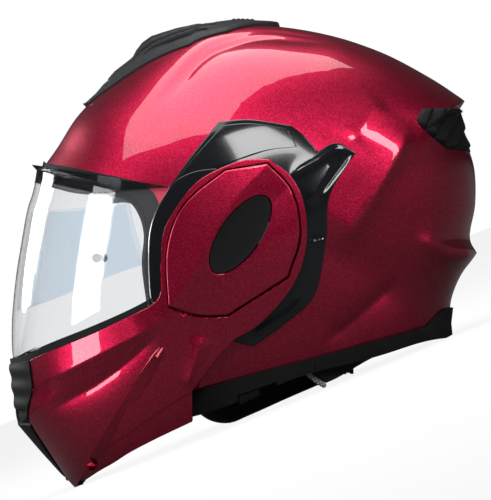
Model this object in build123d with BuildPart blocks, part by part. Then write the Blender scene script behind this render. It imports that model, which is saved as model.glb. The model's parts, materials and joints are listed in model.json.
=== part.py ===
from build123d import *
import math
import os

os.makedirs("parts", exist_ok=True)

# A modular motorcycle helmet. Millimetres, Z up, the face towards -X and the wearer's left towards -Y.
# It stands on its chin and rear rim, so the worn helmet is tipped back by stand_tilt.
# Side outlines are shares of crown_reach, seen from the left: first rearward, then up from the pivot.

# Driving sizes
crown_reach = 140.0
stand_tilt = 22.0
pivot_height = 119.1
pivot_behind_centre = 17.9
fullness = 2.3
overrun = 260.0

# The layers beside the pivot, from the inside out
shell_reach = 114.0
shell_wall = 4.0
plate_thickness = 2.8
visor_gap = 1.2
visor_wall = 2.4
chin_gap = 1.1
chin_arm = 4.5
cover_thickness = 4.0

# Running and seating clearances
seat_gap = 0.3
run_gap = 0.6

# Liner, pads and trim
liner_gap = 0.3
head_reach = 85.0
cheek_reach = 76.0
pad_thickness = 7.0
cheek_pad_inner = 50.0
trim_thickness = 1.8
trim_depth = 6.0
seal_width = 7.0

# Pivots and fastenings
bolt_radius = 6.0
bolt_head_radius = 10.0
bolt_head = 1.8
washer_radius = 15.0
pin_radius = 3.5

# Inner sun visor, which turns in its own layer between shell and liner
sun_reach = 103.0
sun_radius = 133.0
sun_wall = 2.0
sun_slot = 1.5

plate_reach = shell_reach + plate_thickness
visor_bore_reach = plate_reach + visor_gap
visor_reach = visor_bore_reach + visor_wall
chin_bore_reach = visor_reach + chin_gap
chin_reach = chin_bore_reach + chin_arm
cover_reach = chin_reach + cover_thickness
liner_reach = shell_reach - shell_wall - liner_gap

# The stacked outlines: places of the sections between the middle plane and the side
station_shares = [0, 0.36, 0.62, 0.81, 0.93, 1]
cap_share = 0.98
chin_bore_share = 1.385
bore_sides = 36

PIVOT = (pivot_behind_centre, 0, pivot_height)
TILT = math.radians(stand_tilt)
REARWARD = (math.cos(TILT), 0, -math.sin(TILT))
UPWARD = (math.sin(TILT), 0, math.cos(TILT))
FORWARD = (-math.cos(TILT), 0, math.sin(TILT))
DOWNWARD = (-math.sin(TILT), 0, -math.cos(TILT))
SIDE = Plane(origin=PIVOT, x_dir=REARWARD, z_dir=(0, -1, 0))
LEVEL = Plane(origin=PIVOT, x_dir=REARWARD, z_dir=UPWARD)
RIGHT_TO_LEFT = Plane.XZ

# Whole forms, as side outlines in the middle plane
shell_outline = [
    [(-1.07, 0.3), (-0.99, 0.415), (-0.89, 0.57), (-0.755, 0.7), (-0.53, 0.87), (-0.28, 0.99),
     (0, 1.025), (0.32, 0.985), (0.62, 0.89), (0.87, 0.76), (1.045, 0.645)],
    [(1.045, 0.645), (1.015, 0.6)],
    [(1.015, 0.6), (1.04, 0.47), (1.09, 0.31), (1.095, 0.125), (1.065, -0.04), (1.105, -0.115)],
    [(1.105, -0.115), (1.035, -0.2), (0.98, -0.33), (0.965, -0.46), (0.98, -0.6),
     (0.92, -0.85), (0.72, -1.15), (0.37, -1.375), (0, -1.45)],
    [(0, -1.45), (-0.43, -1.375), (-0.73, -1.1), (-0.92, -0.65), (-1.03, -0.3), (-1.07, 0),
     (-1.07, 0.3)],
]
visor_outline = [
    [(-1.085, 0.325), (-1.115, 0.19), (-1.145, 0.09), (-1.18, -0.11), (-1.2, -0.24),
     (-1.218, -0.425), (-1.22, -0.575), (-1.21, -0.655)],
    [(-1.21, -0.655), (-0.98, -0.97), (-0.53, -1.27), (0, -1.375), (0.52, -1.2), (0.82, -0.8),
     (0.995, -0.35), (1.09, 0), (0.95, 0.55), (0.58, 0.935), (0, 1.1), (-0.58, 0.94),
     (-0.9, 0.66), (-1.085, 0.325)],
]
chin_outline = [
    [(-1.3, 0), (-1.26, -0.4), (-1.235, -0.64), (-1.22, -0.74), (-1.205, -0.85),
     (-1.185, -0.97)],
    [(-1.185, -0.97), (-1.065, -1.11), (-0.905, -1.288)],
    [(-0.905, -1.288), (-0.5, -1.5), (0, -1.575), (0.6, -1.46), (1.1, -1.05), (1.4, -0.5),
     (1.45, 0), (1.35, 0.6), (0.9, 1.15), (0, 1.45), (-0.7, 1.25), (-1.2, 0.6), (-1.3, 0)],
]
head_outline = [
    [(-0.76, 0.1), (-0.7, 0.36), (-0.5, 0.62), (-0.2, 0.78), (0.1, 0.81), (0.42, 0.74),
     (0.68, 0.54), (0.81, 0.25), (0.81, -0.08), (0.72, -0.42)],
    [(0.72, -0.42), (0.5, -0.8), (0, -0.95), (-0.5, -0.85), (-0.72, -0.42), (-0.76, 0.1)],
]

# Edges of the shell in the side view
brow_edge = [[(-1.3, 0.331), (-0.635, 0.16)]]
eyeport_side = [[(-0.635, 0.16), (-0.565, 0.09), (-0.54, -0.025), (-0.555, -0.175)]]
cheek_edge = [[(-0.555, -0.175), (-0.53, -0.375), (-0.43, -0.84)]]
rim_top = [
    [(-0.45, -0.842), (-0.03, -0.71), (0.27, -0.63), (0.62, -0.535), (0.845, -0.475)],
    [(0.845, -0.475), (0.905, -0.415), (0.955, -0.39)],
]
rim_low = [
    [(-0.45, -0.945), (-0.08, -0.84), (0.28, -0.7), (0.47, -0.655), (0.67, -0.6),
     (0.82, -0.555), (0.95, -0.537)],
]
rim_split_share = 0.285

# Edges of the visor and the chin bar in the side view
lens_top = [[(-1.3, 0.355), (-0.42, 0.21)]]
lens_rear = [[(-0.42, 0.21), (-0.49, 0.09), (-0.525, -0.05), (-0.52, -0.3), (-0.5, -0.36)]]
lens_low = [[(-0.5, -0.36), (-0.78, -0.48), (-1.03, -0.585), (-1.18, -0.635), (-1.3, -0.655)]]
chin_top = [[(-1.34, -0.69), (-1.12, -0.645), (-1.03, -0.605), (-0.78, -0.5), (-0.53, -0.38)],
            [(-0.53, -0.38), (-0.485, -0.345), (-0.46, -0.285)]]
pod_edge = [
    [(-0.46, -0.285), (-0.46, -0.05), (-0.405, 0.085), (-0.28, 0.24), (-0.08, 0.335),
     (0.06, 0.345)],
    [(0.06, 0.345), (0.17, 0.26), (0.235, 0.12), (0.245, -0.075), (0.185, -0.265),
     (0.03, -0.45), (-0.11, -0.54)],
]
arm_rear = [[(-0.11, -0.54), (-0.205, -0.65), (-0.32, -0.805)], [(-0.32, -0.805), (-0.32, -0.945)]]
chin_low = [[(-0.32, -0.945), (-0.63, -1.105), (-0.905, -1.288)], [(-0.905, -1.288), (-0.98, -1.35)]]


def place(share, taper=1.0, growth=0.0):
    """A point of a side outline, drawn in towards the pivot by taper and moved out by growth."""
    x, z = share
    reach = math.hypot(x, z)
    scale = taper * (crown_reach + growth / reach)
    return (x * scale, z * scale)


def trace(runs, taper=1.0, growth=0.0, coarse=False):
    """Draw the runs of an outline and close it: two points make a line, more a smooth curve."""
    ends = []
    for run in runs:
        points = [place(share, taper, growth) for share in run]
        if len(points) == 2 or coarse:
            Polyline(*points)
        else:
            Spline(*points)
        ends.append((points[0], points[-1]))
    for index, (first, last) in enumerate(ends):
        following = ends[(index + 1) % len(ends)][0]
        if math.dist(last, following) > seat_gap / 100:
            Line(last, following)


def stacked(outline, reach, growth=0.0, coarse=False):
    """A solid whose side outline draws in about the pivot towards each side of the helmet."""
    with BuildPart() as form:
        for share in [-share for share in reversed(station_shares[1:])] + station_shares:
            taper = math.sqrt(1 - (abs(share) * cap_share) ** fullness)
            with BuildSketch(SIDE.offset(share * reach)):
                with BuildLine():
                    trace(outline, taper, growth, coarse)
                make_face()
        loft()
    return form.part


def turned(radius, reach):
    """A solid of revolution about the pivot axis that draws in like the stacked forms."""
    with BuildPart() as form:
        for share in [-share for share in reversed(station_shares[1:])] + station_shares:
            taper = math.sqrt(1 - (abs(share) * cap_share) ** fullness)
            with BuildSketch(SIDE.offset(share * reach)):
                RegularPolygon(radius * taper, bore_sides, major_radius=False)
        loft()
    return form.part


def prism(outline, inner=0.0, outer=overrun):
    """An outline of the side view, extruded towards the left between two distances."""
    with BuildPart() as block:
        with BuildSketch(SIDE.offset(inner)):
            with BuildLine():
                trace(outline)
            make_face()
        extrude(amount=outer - inner)
    return block.part


def through(outline):
    """An outline of the side view, extruded through the whole helmet."""
    return prism(outline, -overrun, overrun)


def disc(share, radius, inner, outer):
    """A round block about an axis across the helmet, on the left."""
    with BuildPart() as block:
        with BuildSketch(SIDE.offset(inner)):
            with Locations(place(share)):
                Circle(radius)
        extrude(amount=outer - inner)
    return block.part


def hub(radius, inner, outer):
    """A round block about the pivot axis, on the left."""
    with BuildPart() as block:
        with BuildSketch(SIDE.offset(inner)):
            Circle(radius)
        extrude(amount=outer - inner)
    return block.part


def keep(name, part):
    """Label a finished piece and write it."""
    part.label = name
    export_step(part, f"parts/{name}.step")


def moved_run(runs, rearward=0.0, up=0.0):
    """The same runs, shifted by millimetres."""
    shift_x = rearward / crown_reach
    shift_z = up / crown_reach
    return [[(x + shift_x, z + shift_z) for x, z in run] for run in runs]


def drawn_in(runs, amount):
    """A closed outline, shrunk about its middle by about this distance all round."""
    points = [share for run in runs for share in run]
    low = [min(share[axis] for share in points) for axis in (0, 1)]
    high = [max(share[axis] for share in points) for axis in (0, 1)]
    middle = [(a + b) / 2 for a, b in zip(low, high)]
    shrink = [1 - 2 * amount / (crown_reach * (b - a)) for a, b in zip(low, high)]
    return [
        [tuple(m + k * (value - m) for value, m, k in zip(share, middle, shrink)) for share in run]
        for run in runs
    ]


def backwards(runs):
    """The same runs, followed the other way."""
    return [list(reversed(run)) for run in reversed(runs)]


far = overrun / crown_reach

# Forms that several pieces share
shell_skin = stacked(shell_outline, shell_reach)
shell_bore = stacked(shell_outline, shell_reach - shell_wall, -shell_wall, coarse=True)
liner_skin = stacked(shell_outline, liner_reach, -shell_wall - liner_gap, coarse=True)
plate_skin = stacked(shell_outline, plate_reach, plate_thickness, coarse=True)
head_form = stacked(head_outline, head_reach, coarse=True)
visor_skin = stacked(visor_outline, visor_reach)
visor_bore = stacked(visor_outline, visor_bore_reach, -visor_wall, coarse=True)
chin_bore = turned(crown_reach * chin_bore_share, chin_bore_reach)
chin_skin = stacked(chin_outline, chin_reach)


def layer(outer, inner, region):
    """What a region keeps of the space between two forms."""
    with BuildPart() as piece:
        add(outer)
        add(inner, mode=Mode.SUBTRACT)
        add(region, mode=Mode.INTERSECT)
    return piece.part


def both_sides(part):
    """A left-hand block together with its mirror image."""
    return part + part.mirror(RIGHT_TO_LEFT)


def keep_pair(name, part):
    """Write a left-hand piece and its mirror image as two pieces."""
    keep(name + "_left", part)
    keep(name + "_right", part.mirror(RIGHT_TO_LEFT))


# Main shell: open at the face, cut off at the rim, with the exhaust opening under its spoiler
eyeport = brow_edge + eyeport_side + cheek_edge + [[(-0.43, -far), (-far, -far)]]
eyeport_cut = through(eyeport + [[(-far, -far), (-far, 0.4)]])
below_rim = moved_run(rim_top, up=-trim_depth) + [[(far, -0.36), (far, -far)]]
rim_cut = through(below_rim + [[(far, -far), (-0.5, -far)], [(-0.5, -far), (-0.5, -0.9)]])
exhaust_outline = [
    [(0.79, 0.545), (0.82, 0.597)],
    [(0.82, 0.597), (1.3, 0.622)],
    [(1.3, 0.622), (1.3, 0.39)],
    [(1.3, 0.39), (0.945, 0.4)],
    [(0.945, 0.4), (0.87, 0.455), (0.805, 0.515)],
]
exhaust_cut = through(exhaust_outline)
bolt_hole = both_sides(hub(bolt_radius, shell_reach / 2, overrun))

with BuildPart() as main_shell:
    add(shell_skin)
    add(shell_bore, mode=Mode.SUBTRACT)
    add(eyeport_cut, mode=Mode.SUBTRACT)
    add(rim_cut, mode=Mode.SUBTRACT)
    add(exhaust_cut, mode=Mode.SUBTRACT)
    add(bolt_hole, mode=Mode.SUBTRACT)
keep("main_shell", main_shell.part)

# Rear exhaust vent: fills its opening, with slanted louvre slots
vent_sink = 1.2
louvre_count = 7
louvre_width = 4.5
louvre_depth = 1.6
exhaust_skin = stacked(shell_outline, shell_reach - vent_sink, -vent_sink, coarse=True)
exhaust_floor = stacked(
    shell_outline, shell_reach - vent_sink - louvre_depth, -vent_sink - louvre_depth, coarse=True
)
louvre_run_share = 0.42
with BuildPart() as louvre_slots:
    with BuildSketch(SIDE.offset(-overrun)):
        with Locations(place((0.92, 0.5))):
            with GridLocations(2 * louvre_width, 0, louvre_count, 1):
                Rectangle(louvre_width, crown_reach * louvre_run_share, rotation=-25)
    extrude(amount=2 * overrun)
    add(exhaust_floor, mode=Mode.SUBTRACT)
exhaust_field = through([
    [(0.83, 0.53), (0.84, 0.58)],
    [(0.84, 0.58), (1.3, 0.6)],
    [(1.3, 0.6), (1.3, 0.415)],
    [(1.3, 0.415), (0.955, 0.425), (0.88, 0.475)],
])
with BuildPart() as rear_exhaust_vent:
    add(exhaust_skin)
    add(shell_bore, mode=Mode.SUBTRACT)
    add(exhaust_cut, mode=Mode.INTERSECT)
    add(louvre_slots.part & exhaust_field, mode=Mode.SUBTRACT)
keep("rear_exhaust_vent", rear_exhaust_vent.part)

# Crown vent: a pointed cover over the forehead and crown, with long slots between its fins
vent_outline = [
    [(-0.84, 0.635), (-0.72, 0.757)],
    [(-0.72, 0.757), (-0.565, 0.905), (-0.48, 0.985)],
    [(-0.48, 0.985), (-0.28, 1.033), (-0.08, 1.054), (0.12, 1.03)],
    [(0.12, 1.03), (0.1, 0.2)],
    [(0.1, 0.2), (-0.5, 0.2)],
]
vent_reach = 100.0
vent_form = stacked(vent_outline, vent_reach)
vent_floor_height = 1.2
vent_floor = stacked(shell_outline, shell_reach, vent_floor_height, coarse=True)
vent_half_plan = [(-0.85, 0), (-0.82, 0.13), (-0.7, 0.2), (-0.33, 0.315), (-0.14, 0.27), (0.11, 0)]


def plan(points):
    """A plan outline of the worn helmet and its mirror image, extruded upwards."""
    left = [(x * crown_reach, y * crown_reach) for x, y in points]
    with BuildPart() as block:
        with BuildSketch(LEVEL):
            with BuildLine():
                Polyline(*left)
                Polyline(*[(x, -y) for x, y in left])
            make_face()
        extrude(amount=overrun)
    return block.part


def slot_plan(points):
    """A plan outline off the middle, extruded upwards on both sides."""
    block = []
    for sign in (-1, 1):
        with BuildPart() as slot:
            with BuildSketch(LEVEL):
                with BuildLine():
                    Polyline(*[(x * crown_reach, sign * y * crown_reach) for x, y in points],
                             close=True)
                make_face()
            extrude(amount=overrun)
        block.append(slot.part)
    return block


vent_slots = [
    [(-0.79, 0.045), (-0.62, 0.04), (-0.18, 0.045), (-0.18, 0.085), (-0.6, 0.075), (-0.79, 0.085)],
    [(-0.78, 0.11), (-0.6, 0.1), (-0.2, 0.115), (-0.22, 0.16), (-0.58, 0.145), (-0.74, 0.145)],
    [(-0.6, 0.175), (-0.25, 0.195), (-0.25, 0.235), (-0.5, 0.215)],
]
slider_place = (-0.04, 1.062)
slider_length = 16.0
slider_width = 12.0
slider_height = 3.0
slider_travel = 7.0
slider_angle = 4.0
slider_seat = 1.4
SLIDER = SIDE * Pos(*place(slider_place)) * Rot(0, 0, slider_angle)
SLIDER_TOP = Plane(
    origin=(SIDE * Pos(*place(slider_place))).position,
    x_dir=(math.cos(TILT - math.radians(slider_angle)), 0, -math.sin(TILT - math.radians(slider_angle))),
    z_dir=(math.sin(TILT - math.radians(slider_angle)), 0, math.cos(TILT - math.radians(slider_angle))),
)
with BuildPart() as slider_recess:
    with BuildSketch(SLIDER_TOP.offset(-slider_height)):
        RectangleRounded(slider_length + slider_travel + 2 * run_gap, slider_width + 2 * run_gap, 2 * run_gap)
    extrude(amount=3 * slider_height)
with BuildPart() as crown_vent:
    add(vent_form)
    add(shell_skin, mode=Mode.SUBTRACT)
    add(plan(vent_half_plan), mode=Mode.INTERSECT)
    for outline in vent_slots:
        for slot in slot_plan(outline):
            add(slot - vent_floor, mode=Mode.SUBTRACT)
    add(slider_recess.part, mode=Mode.SUBTRACT)
keep("crown_vent", crown_vent.part)
grip_rib = 1.0
with BuildPart() as crown_vent_slider:
    with BuildSketch(SLIDER_TOP.offset(-slider_height + seat_gap)):
        with Locations((-slider_travel / 2, 0)):
            RectangleRounded(slider_length, slider_width, run_gap)
    extrude(amount=slider_height)
    with BuildSketch(SLIDER_TOP.offset(seat_gap)):
        with Locations((-slider_travel / 2, 0)):
            with GridLocations(3 * grip_rib, 0, 4, 1):
                Rectangle(grip_rib, slider_width - 4 * grip_rib)
    extrude(amount=grip_rib)
keep("crown_vent_slider", crown_vent_slider.part)

# Black side plates on the shell around the pivots, with a gloss panel let into each
plate_outline = [
    [(-0.42, 0.21), (-0.33, 0.34), (-0.18, 0.525)],
    [(-0.18, 0.525), (-0.03, 0.535), (0.17, 0.505)],
    [(0.17, 0.505), (0.235, 0.455), (0.3, 0.38)],
    [(0.3, 0.38), (0.39, 0.42), (0.485, 0.375)],
    [(0.485, 0.375), (0.36, 0.17), (0.34, -0.05), (0.285, -0.315), (0.145, -0.455), (-0.015, -0.57)],
    [(-0.015, -0.57), (-0.3, -0.5)],
    [(-0.3, -0.5), (-0.45, -0.3), (-0.5, -0.05), (-0.47, 0.1), (-0.42, 0.21)],
]
panel_outline = [
    [(-0.39, 0.235), (-0.31, 0.34), (-0.165, 0.505)],
    [(-0.165, 0.505), (-0.03, 0.515), (0.155, 0.487)],
    [(0.155, 0.487), (0.2, 0.4)],
    [(0.2, 0.4), (-0.2, 0.3)],
]
panel_pocket = prism(panel_outline)
panel_shape = prism(drawn_in(panel_outline, 2 * seat_gap))
with BuildPart() as side_plate:
    add(layer(plate_skin, shell_skin, prism(plate_outline)))
    add(panel_pocket, mode=Mode.SUBTRACT)
    add(bolt_hole, mode=Mode.SUBTRACT)
keep_pair("side_plate", side_plate.part)
keep_pair("side_panel", layer(plate_skin, shell_skin, panel_shape))

# Eyeport seal: a strip along the shell's opening, just clear of the visor
insert_wall = 1.2
seal_depth = seat_gap + insert_wall + run_gap
seal_skin = stacked(
    visor_outline, visor_bore_reach - seal_depth, -visor_wall - seal_depth - run_gap, coarse=True
)
seal_core = stacked(shell_outline, shell_reach - run_gap, -run_gap, coarse=True)
seal_outline = (
    moved_run(brow_edge, up=-seat_gap) + moved_run(eyeport_side, rearward=-seat_gap)
    + backwards(moved_run(eyeport_side, rearward=-seal_width))
    + backwards(moved_run(brow_edge, up=-seal_width))
)
keep("eyeport_seal", layer(seal_skin, seal_core, through(seal_outline)))

# Visor: lens, arms to the pivots, the dark peak on its top edge and the insert behind it
lens_region = through(lens_top + lens_rear + lens_low)
insert_pin_share = (-0.78, -0.14)
with BuildPart() as visor:
    add(visor_skin)
    add(visor_bore, mode=Mode.SUBTRACT)
    add(lens_region, mode=Mode.INTERSECT)
keep("visor", visor.part)

arm_outline = (
    [[(-0.42, 0.21), (-0.38, 0.25), (-0.3, 0.285), (-0.2, 0.3)], [(-0.2, 0.3), (0.03, 0.13)]]
    + [[(0.03, 0.13), (0.1, 0.0), (0.03, -0.13)], [(0.03, -0.13), (-0.3, -0.29), (-0.5, -0.36)]]
    + backwards(lens_rear)
)
with BuildPart() as visor_arm:
    add(layer(visor_skin, visor_bore, prism(arm_outline)))
    add(hub(bolt_radius + seat_gap, 0, overrun), mode=Mode.SUBTRACT)
keep_pair("visor_arm", visor_arm.part)

peak_outline = [
    [(-1.13, 0.335), (-1.096, 0.298)],
    [(-1.096, 0.298), (-1.103, 0.25), (-1.125, 0.185)],
    [(-1.125, 0.185), (-1.2, -0.3), (-0.9, -1.05), (0, -1.4), (0.9, -0.7), (1.1, 0), (0.6, 0.95),
     (0, 1.115), (-0.6, 0.96), (-0.93, 0.67), (-1.13, 0.335)],
]
peak_form = stacked(peak_outline, visor_reach + run_gap, coarse=True)
peak_region = lens_top + [[(-0.42, 0.205), (-0.73, 0.185), (-0.93, 0.19), (-1.1, 0.235), (-1.3, 0.27)]]
keep("visor_peak", layer(peak_form, visor_skin, through(peak_region)))

insert_skin = stacked(
    visor_outline, visor_bore_reach - seat_gap, -visor_wall - seat_gap, coarse=True
)
insert_bore = stacked(
    visor_outline, visor_bore_reach - seat_gap - insert_wall, -visor_wall - seat_gap - insert_wall, coarse=True
)
insert_outline = [
    [(-1.3, 0.095), (-0.88, 0.105), (-0.64, 0.14)],
    [(-0.64, 0.14), (-0.6, -0.05), (-0.56, -0.17)],
    [(-0.56, -0.17), (-0.73, -0.23), (-0.98, -0.33), (-1.3, -0.43)],
]
with BuildPart() as insert_lens:
    add(layer(insert_skin, insert_bore, through(insert_outline)))
    add(both_sides(disc(insert_pin_share, pin_radius, 0, overrun)), mode=Mode.SUBTRACT)
keep("insert_lens", insert_lens.part)
pin_block = both_sides(disc(insert_pin_share, pin_radius - seat_gap, 0, overrun))
keep("insert_pins", layer(visor_bore, insert_bore, pin_block))

# Chin bar: a wall with arms to the pivots, hollow behind, with a recess for its vent
chin_region_outline = chin_top + pod_edge + arm_rear + chin_low + [[(-1.6, -1.35), (-1.6, -0.69)]]
chin_region = through(chin_region_outline)
chin_wall = 4.0
vent_recess = 6.0
chin_hollow = stacked(chin_outline, chin_reach - chin_wall, -chin_wall, coarse=True)
recess_floor = stacked(chin_outline, chin_reach - vent_recess, -vent_recess, coarse=True)
recess_hollow = stacked(
    chin_outline, chin_reach - vent_recess - chin_wall, -vent_recess - chin_wall, coarse=True
)
chin_vent_edge = [
    [(-1.115, -0.5), (-1.115, -0.645)],
    [(-1.115, -0.645), (-1.11, -0.725), (-1.105, -0.79), (-1.125, -0.87), (-1.125, -0.95)],
    [(-1.125, -0.95), (-1.055, -1.07), (-0.935, -1.255)],
    [(-0.935, -1.255), (-1.7, -1.255)],
    [(-1.7, -1.255), (-1.7, -0.5)],
]
chin_vent_cut = through(chin_vent_edge)
chin_vent_backing = through(moved_run(chin_vent_edge, rearward=chin_wall, up=-chin_wall))
ground_cut = Box(4 * overrun, 4 * overrun, 2 * overrun, align=(Align.CENTER, Align.CENTER, Align.MAX))
with BuildPart() as chin_bar_shell:
    add(chin_skin)
    add(chin_bore, mode=Mode.SUBTRACT)
    add(chin_region, mode=Mode.INTERSECT)
    add(chin_hollow - chin_vent_backing, mode=Mode.SUBTRACT)
    add(recess_hollow & chin_vent_backing, mode=Mode.SUBTRACT)
    add(chin_vent_cut - recess_floor, mode=Mode.SUBTRACT)
    add(both_sides(hub(bolt_radius + seat_gap, 0, overrun)), mode=Mode.SUBTRACT)
    add(ground_cut, mode=Mode.SUBTRACT)
keep("chin_bar_shell", chin_bar_shell.part)

chin_vent_shape = drawn_in(chin_vent_edge, seat_gap)
housing_skin = stacked(chin_outline, chin_reach, run_gap, coarse=True)


def front_slot(inner, outer, low, high):
    """A level slot through the front of the chin, between two places to the left."""
    edges = [[(-far, low), (-far, high)], [(-far, high), (-1, high)], [(-1, high), (-1, low)]]
    return prism(edges, inner * crown_reach, outer * crown_reach)


shutter_wall = 1.6
shutter_depth = 2.0
shutter_travel = 9.0
shutter_skin = stacked(chin_outline, chin_reach - shutter_depth, -shutter_depth, coarse=True)
shutter_core = stacked(
    chin_outline, chin_reach - shutter_depth - shutter_wall, -shutter_depth - shutter_wall, coarse=True
)
pocket_skin = stacked(chin_outline, chin_reach - shutter_depth + run_gap, -shutter_depth + run_gap, coarse=True)
with BuildPart() as chin_vent_housing:
    add(housing_skin)
    add(recess_floor, mode=Mode.SUBTRACT)
    add(chin_bore, mode=Mode.SUBTRACT)
    add(through(chin_vent_shape), mode=Mode.INTERSECT)
    add(chin_region, mode=Mode.INTERSECT)
    add(pocket_skin & front_slot(-0.155, 0.155, -0.945, -0.772), mode=Mode.SUBTRACT)
    add(front_slot(-0.12, 0.12, -0.86, -0.79), mode=Mode.SUBTRACT)
    add(both_sides(front_slot(0.05, 0.15, -1.04, -0.985)), mode=Mode.SUBTRACT)
keep("chin_vent_housing", chin_vent_housing.part)
keep("chin_vent_shutter", layer(shutter_skin, shutter_core, front_slot(-0.14, 0.14, -0.87, -0.78)))

# Gasket on the chin bar's upper edge, outside the visor's lower edge
gasket_height = 5.0
gasket_skin = stacked(chin_outline, chin_reach - 2 * seat_gap, -2 * seat_gap, coarse=True)
gasket_outline = chin_top[:1] + backwards(moved_run(chin_top[:1], up=gasket_height))
keep("chin_bar_gasket", layer(gasket_skin, chin_bore, through(gasket_outline)))

# Foam inside the chin bar
foam_skin = stacked(chin_outline, chin_reach - vent_recess - chin_wall - seat_gap,
                    -vent_recess - chin_wall - seat_gap, coarse=True)
foam_bore = turned(crown_reach * chin_bore_share + seat_gap, chin_bore_reach + seat_gap)
foam_outline = [
    [(-0.72, -0.8), (-0.72, -1.125)],
    [(-0.72, -1.125), (-1.0, -1.29)],
    [(-1.0, -1.29), (-1.7, -1.3)],
    [(-1.7, -1.3), (-1.7, -0.8)],
]
keep("chin_foam", layer(foam_skin, foam_bore, through(foam_outline)))

# Pod covers over the pivots, with an oval insert
cover_skin = stacked(chin_outline, cover_reach, cover_thickness, coarse=True)
cover_outline = [
    [(-0.425, -0.37), (-0.435, -0.125), (-0.39, 0.05), (-0.305, 0.165), (-0.15, 0.285)],
    [(-0.15, 0.285), (0.04, 0.315)],
    [(0.04, 0.315), (0.17, 0.185), (0.21, -0.025), (0.15, -0.23)],
    [(0.15, -0.23), (-0.14, -0.415)],
    [(-0.14, -0.415), (-0.28, -0.415), (-0.425, -0.37)],
]
oval_place = (-0.077, -0.025)
oval_length = 62.0
oval_width = 27.0
oval_angle = 55.0


def oval(shrink, inner, outer):
    """The oval of the pod cover as a block."""
    with BuildPart() as block:
        with BuildSketch(SIDE.offset(inner)):
            with Locations(place(oval_place)):
                Ellipse(oval_length / 2 - shrink, oval_width / 2 - shrink, rotation=oval_angle)
        extrude(amount=outer - inner)
    return block.part


head_room = hub(bolt_head_radius + run_gap, 0, chin_reach + bolt_head + run_gap)
with BuildPart() as pod_cover:
    add(layer(cover_skin, chin_skin, prism(cover_outline)))
    add(oval(0, 0, overrun), mode=Mode.SUBTRACT)
    add(head_room, mode=Mode.SUBTRACT)
keep_pair("pod_cover", pod_cover.part)
insert_sink = 1.2
oval_skin = stacked(chin_outline, cover_reach - insert_sink, cover_thickness - insert_sink, coarse=True)
with BuildPart() as pod_insert:
    add(layer(oval_skin, chin_skin, oval(seat_gap, 0, overrun)))
    add(head_room, mode=Mode.SUBTRACT)
keep_pair("pod_insert", pod_insert.part)

# Pivot bolts through shell, visor arm and chin bar arm, each with a nut and two washers
nut_thickness = 5.0
nut_width = 17.0
with BuildPart() as pivot_bolt:
    add(hub(bolt_radius, shell_reach - shell_wall - nut_thickness, chin_reach + seat_gap))
    add(hub(bolt_head_radius, chin_reach + seat_gap, chin_reach + bolt_head))
keep_pair("pivot_bolt", pivot_bolt.part)
with BuildPart() as pivot_nut:
    with BuildSketch(SIDE.offset(shell_reach - shell_wall - nut_thickness)):
        RegularPolygon(nut_width / 2, 6, major_radius=False)
        Circle(bolt_radius, mode=Mode.SUBTRACT)
    extrude(amount=nut_thickness)
keep("pivot_nuts", both_sides(pivot_nut.part))


def washer(outer_radius, inner, outer):
    """A ring round the pivot bolt."""
    return hub(outer_radius, inner, outer) - hub(bolt_radius, inner, outer)


keep("detent_rings", both_sides(washer(washer_radius, plate_reach, visor_bore_reach - seat_gap)))
keep("wave_washers", both_sides(washer(washer_radius, visor_reach + seat_gap, chin_bore_reach - seat_gap)))

# Foam liner: fills the shell down to the rim, open for head, neck and face
strap_share = 0.4
rivet_share = (strap_share, -0.45)
rivet_radius = 2.5
rivet_hole = both_sides(disc(rivet_share, rivet_radius + seat_gap / 2, 0, overrun))
neck_outline = [
    [(-far, 0), (0, -0.1)],
    [(0, -0.1), (0.55, -0.2)],
    [(0.55, -0.2), (0.66, -0.4), (0.7, -0.7)],
    [(0.7, -0.7), (0.7, -far)],
    [(0.7, -far), (-far, -far)],
]
neck_space = prism(neck_outline, -cheek_reach, cheek_reach)
liner_bottom = moved_run(rim_top, up=trim_depth) + [[(far, -0.36), (far, -far)]]
liner_rim_cut = through(liner_bottom + [[(far, -far), (-0.5, -far)], [(-0.5, -far), (-0.5, -0.85)]])
sun_floor = turned(sun_radius - sun_wall - sun_slot, sun_reach - sun_wall - sun_slot)
sun_sweep = through([
    [(0.16, -0.16), (-0.04, -0.2)],
    [(-0.04, -0.2), (-1.3, -0.62)],
    [(-1.3, -0.62), (-1.3, 0.9)],
    [(-1.3, 0.9), (-0.48, 1.3)],
    [(-0.48, 1.3), (0.16, 0.2)],
])
nut_room = both_sides(hub(nut_width * 0.62, shell_reach / 2, overrun))
with BuildPart() as foam_liner:
    add(liner_skin)
    add(head_form, mode=Mode.SUBTRACT)
    add(neck_space, mode=Mode.SUBTRACT)
    add(eyeport_cut, mode=Mode.SUBTRACT)
    add(liner_rim_cut, mode=Mode.SUBTRACT)
    add(sun_sweep - sun_floor, mode=Mode.SUBTRACT)
    add(nut_room, mode=Mode.SUBTRACT)
    add(rivet_hole, mode=Mode.SUBTRACT)
keep("foam_liner", foam_liner.part)

# Comfort pad under the crown
crown_pad_skin = stacked(head_outline, head_reach - liner_gap, -liner_gap, coarse=True)
crown_pad_core = stacked(head_outline, head_reach - pad_thickness, -pad_thickness, coarse=True)
crown_pad_outline = [
    [(-far, 0.16), (-0.5, 0.12), (0, 0.05), (0.5, -0.1), (far, -0.15)],
    [(far, -0.15), (far, far)],
    [(far, far), (-far, far)],
]
keep("crown_pad", layer(crown_pad_skin, crown_pad_core, through(crown_pad_outline)))

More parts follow.
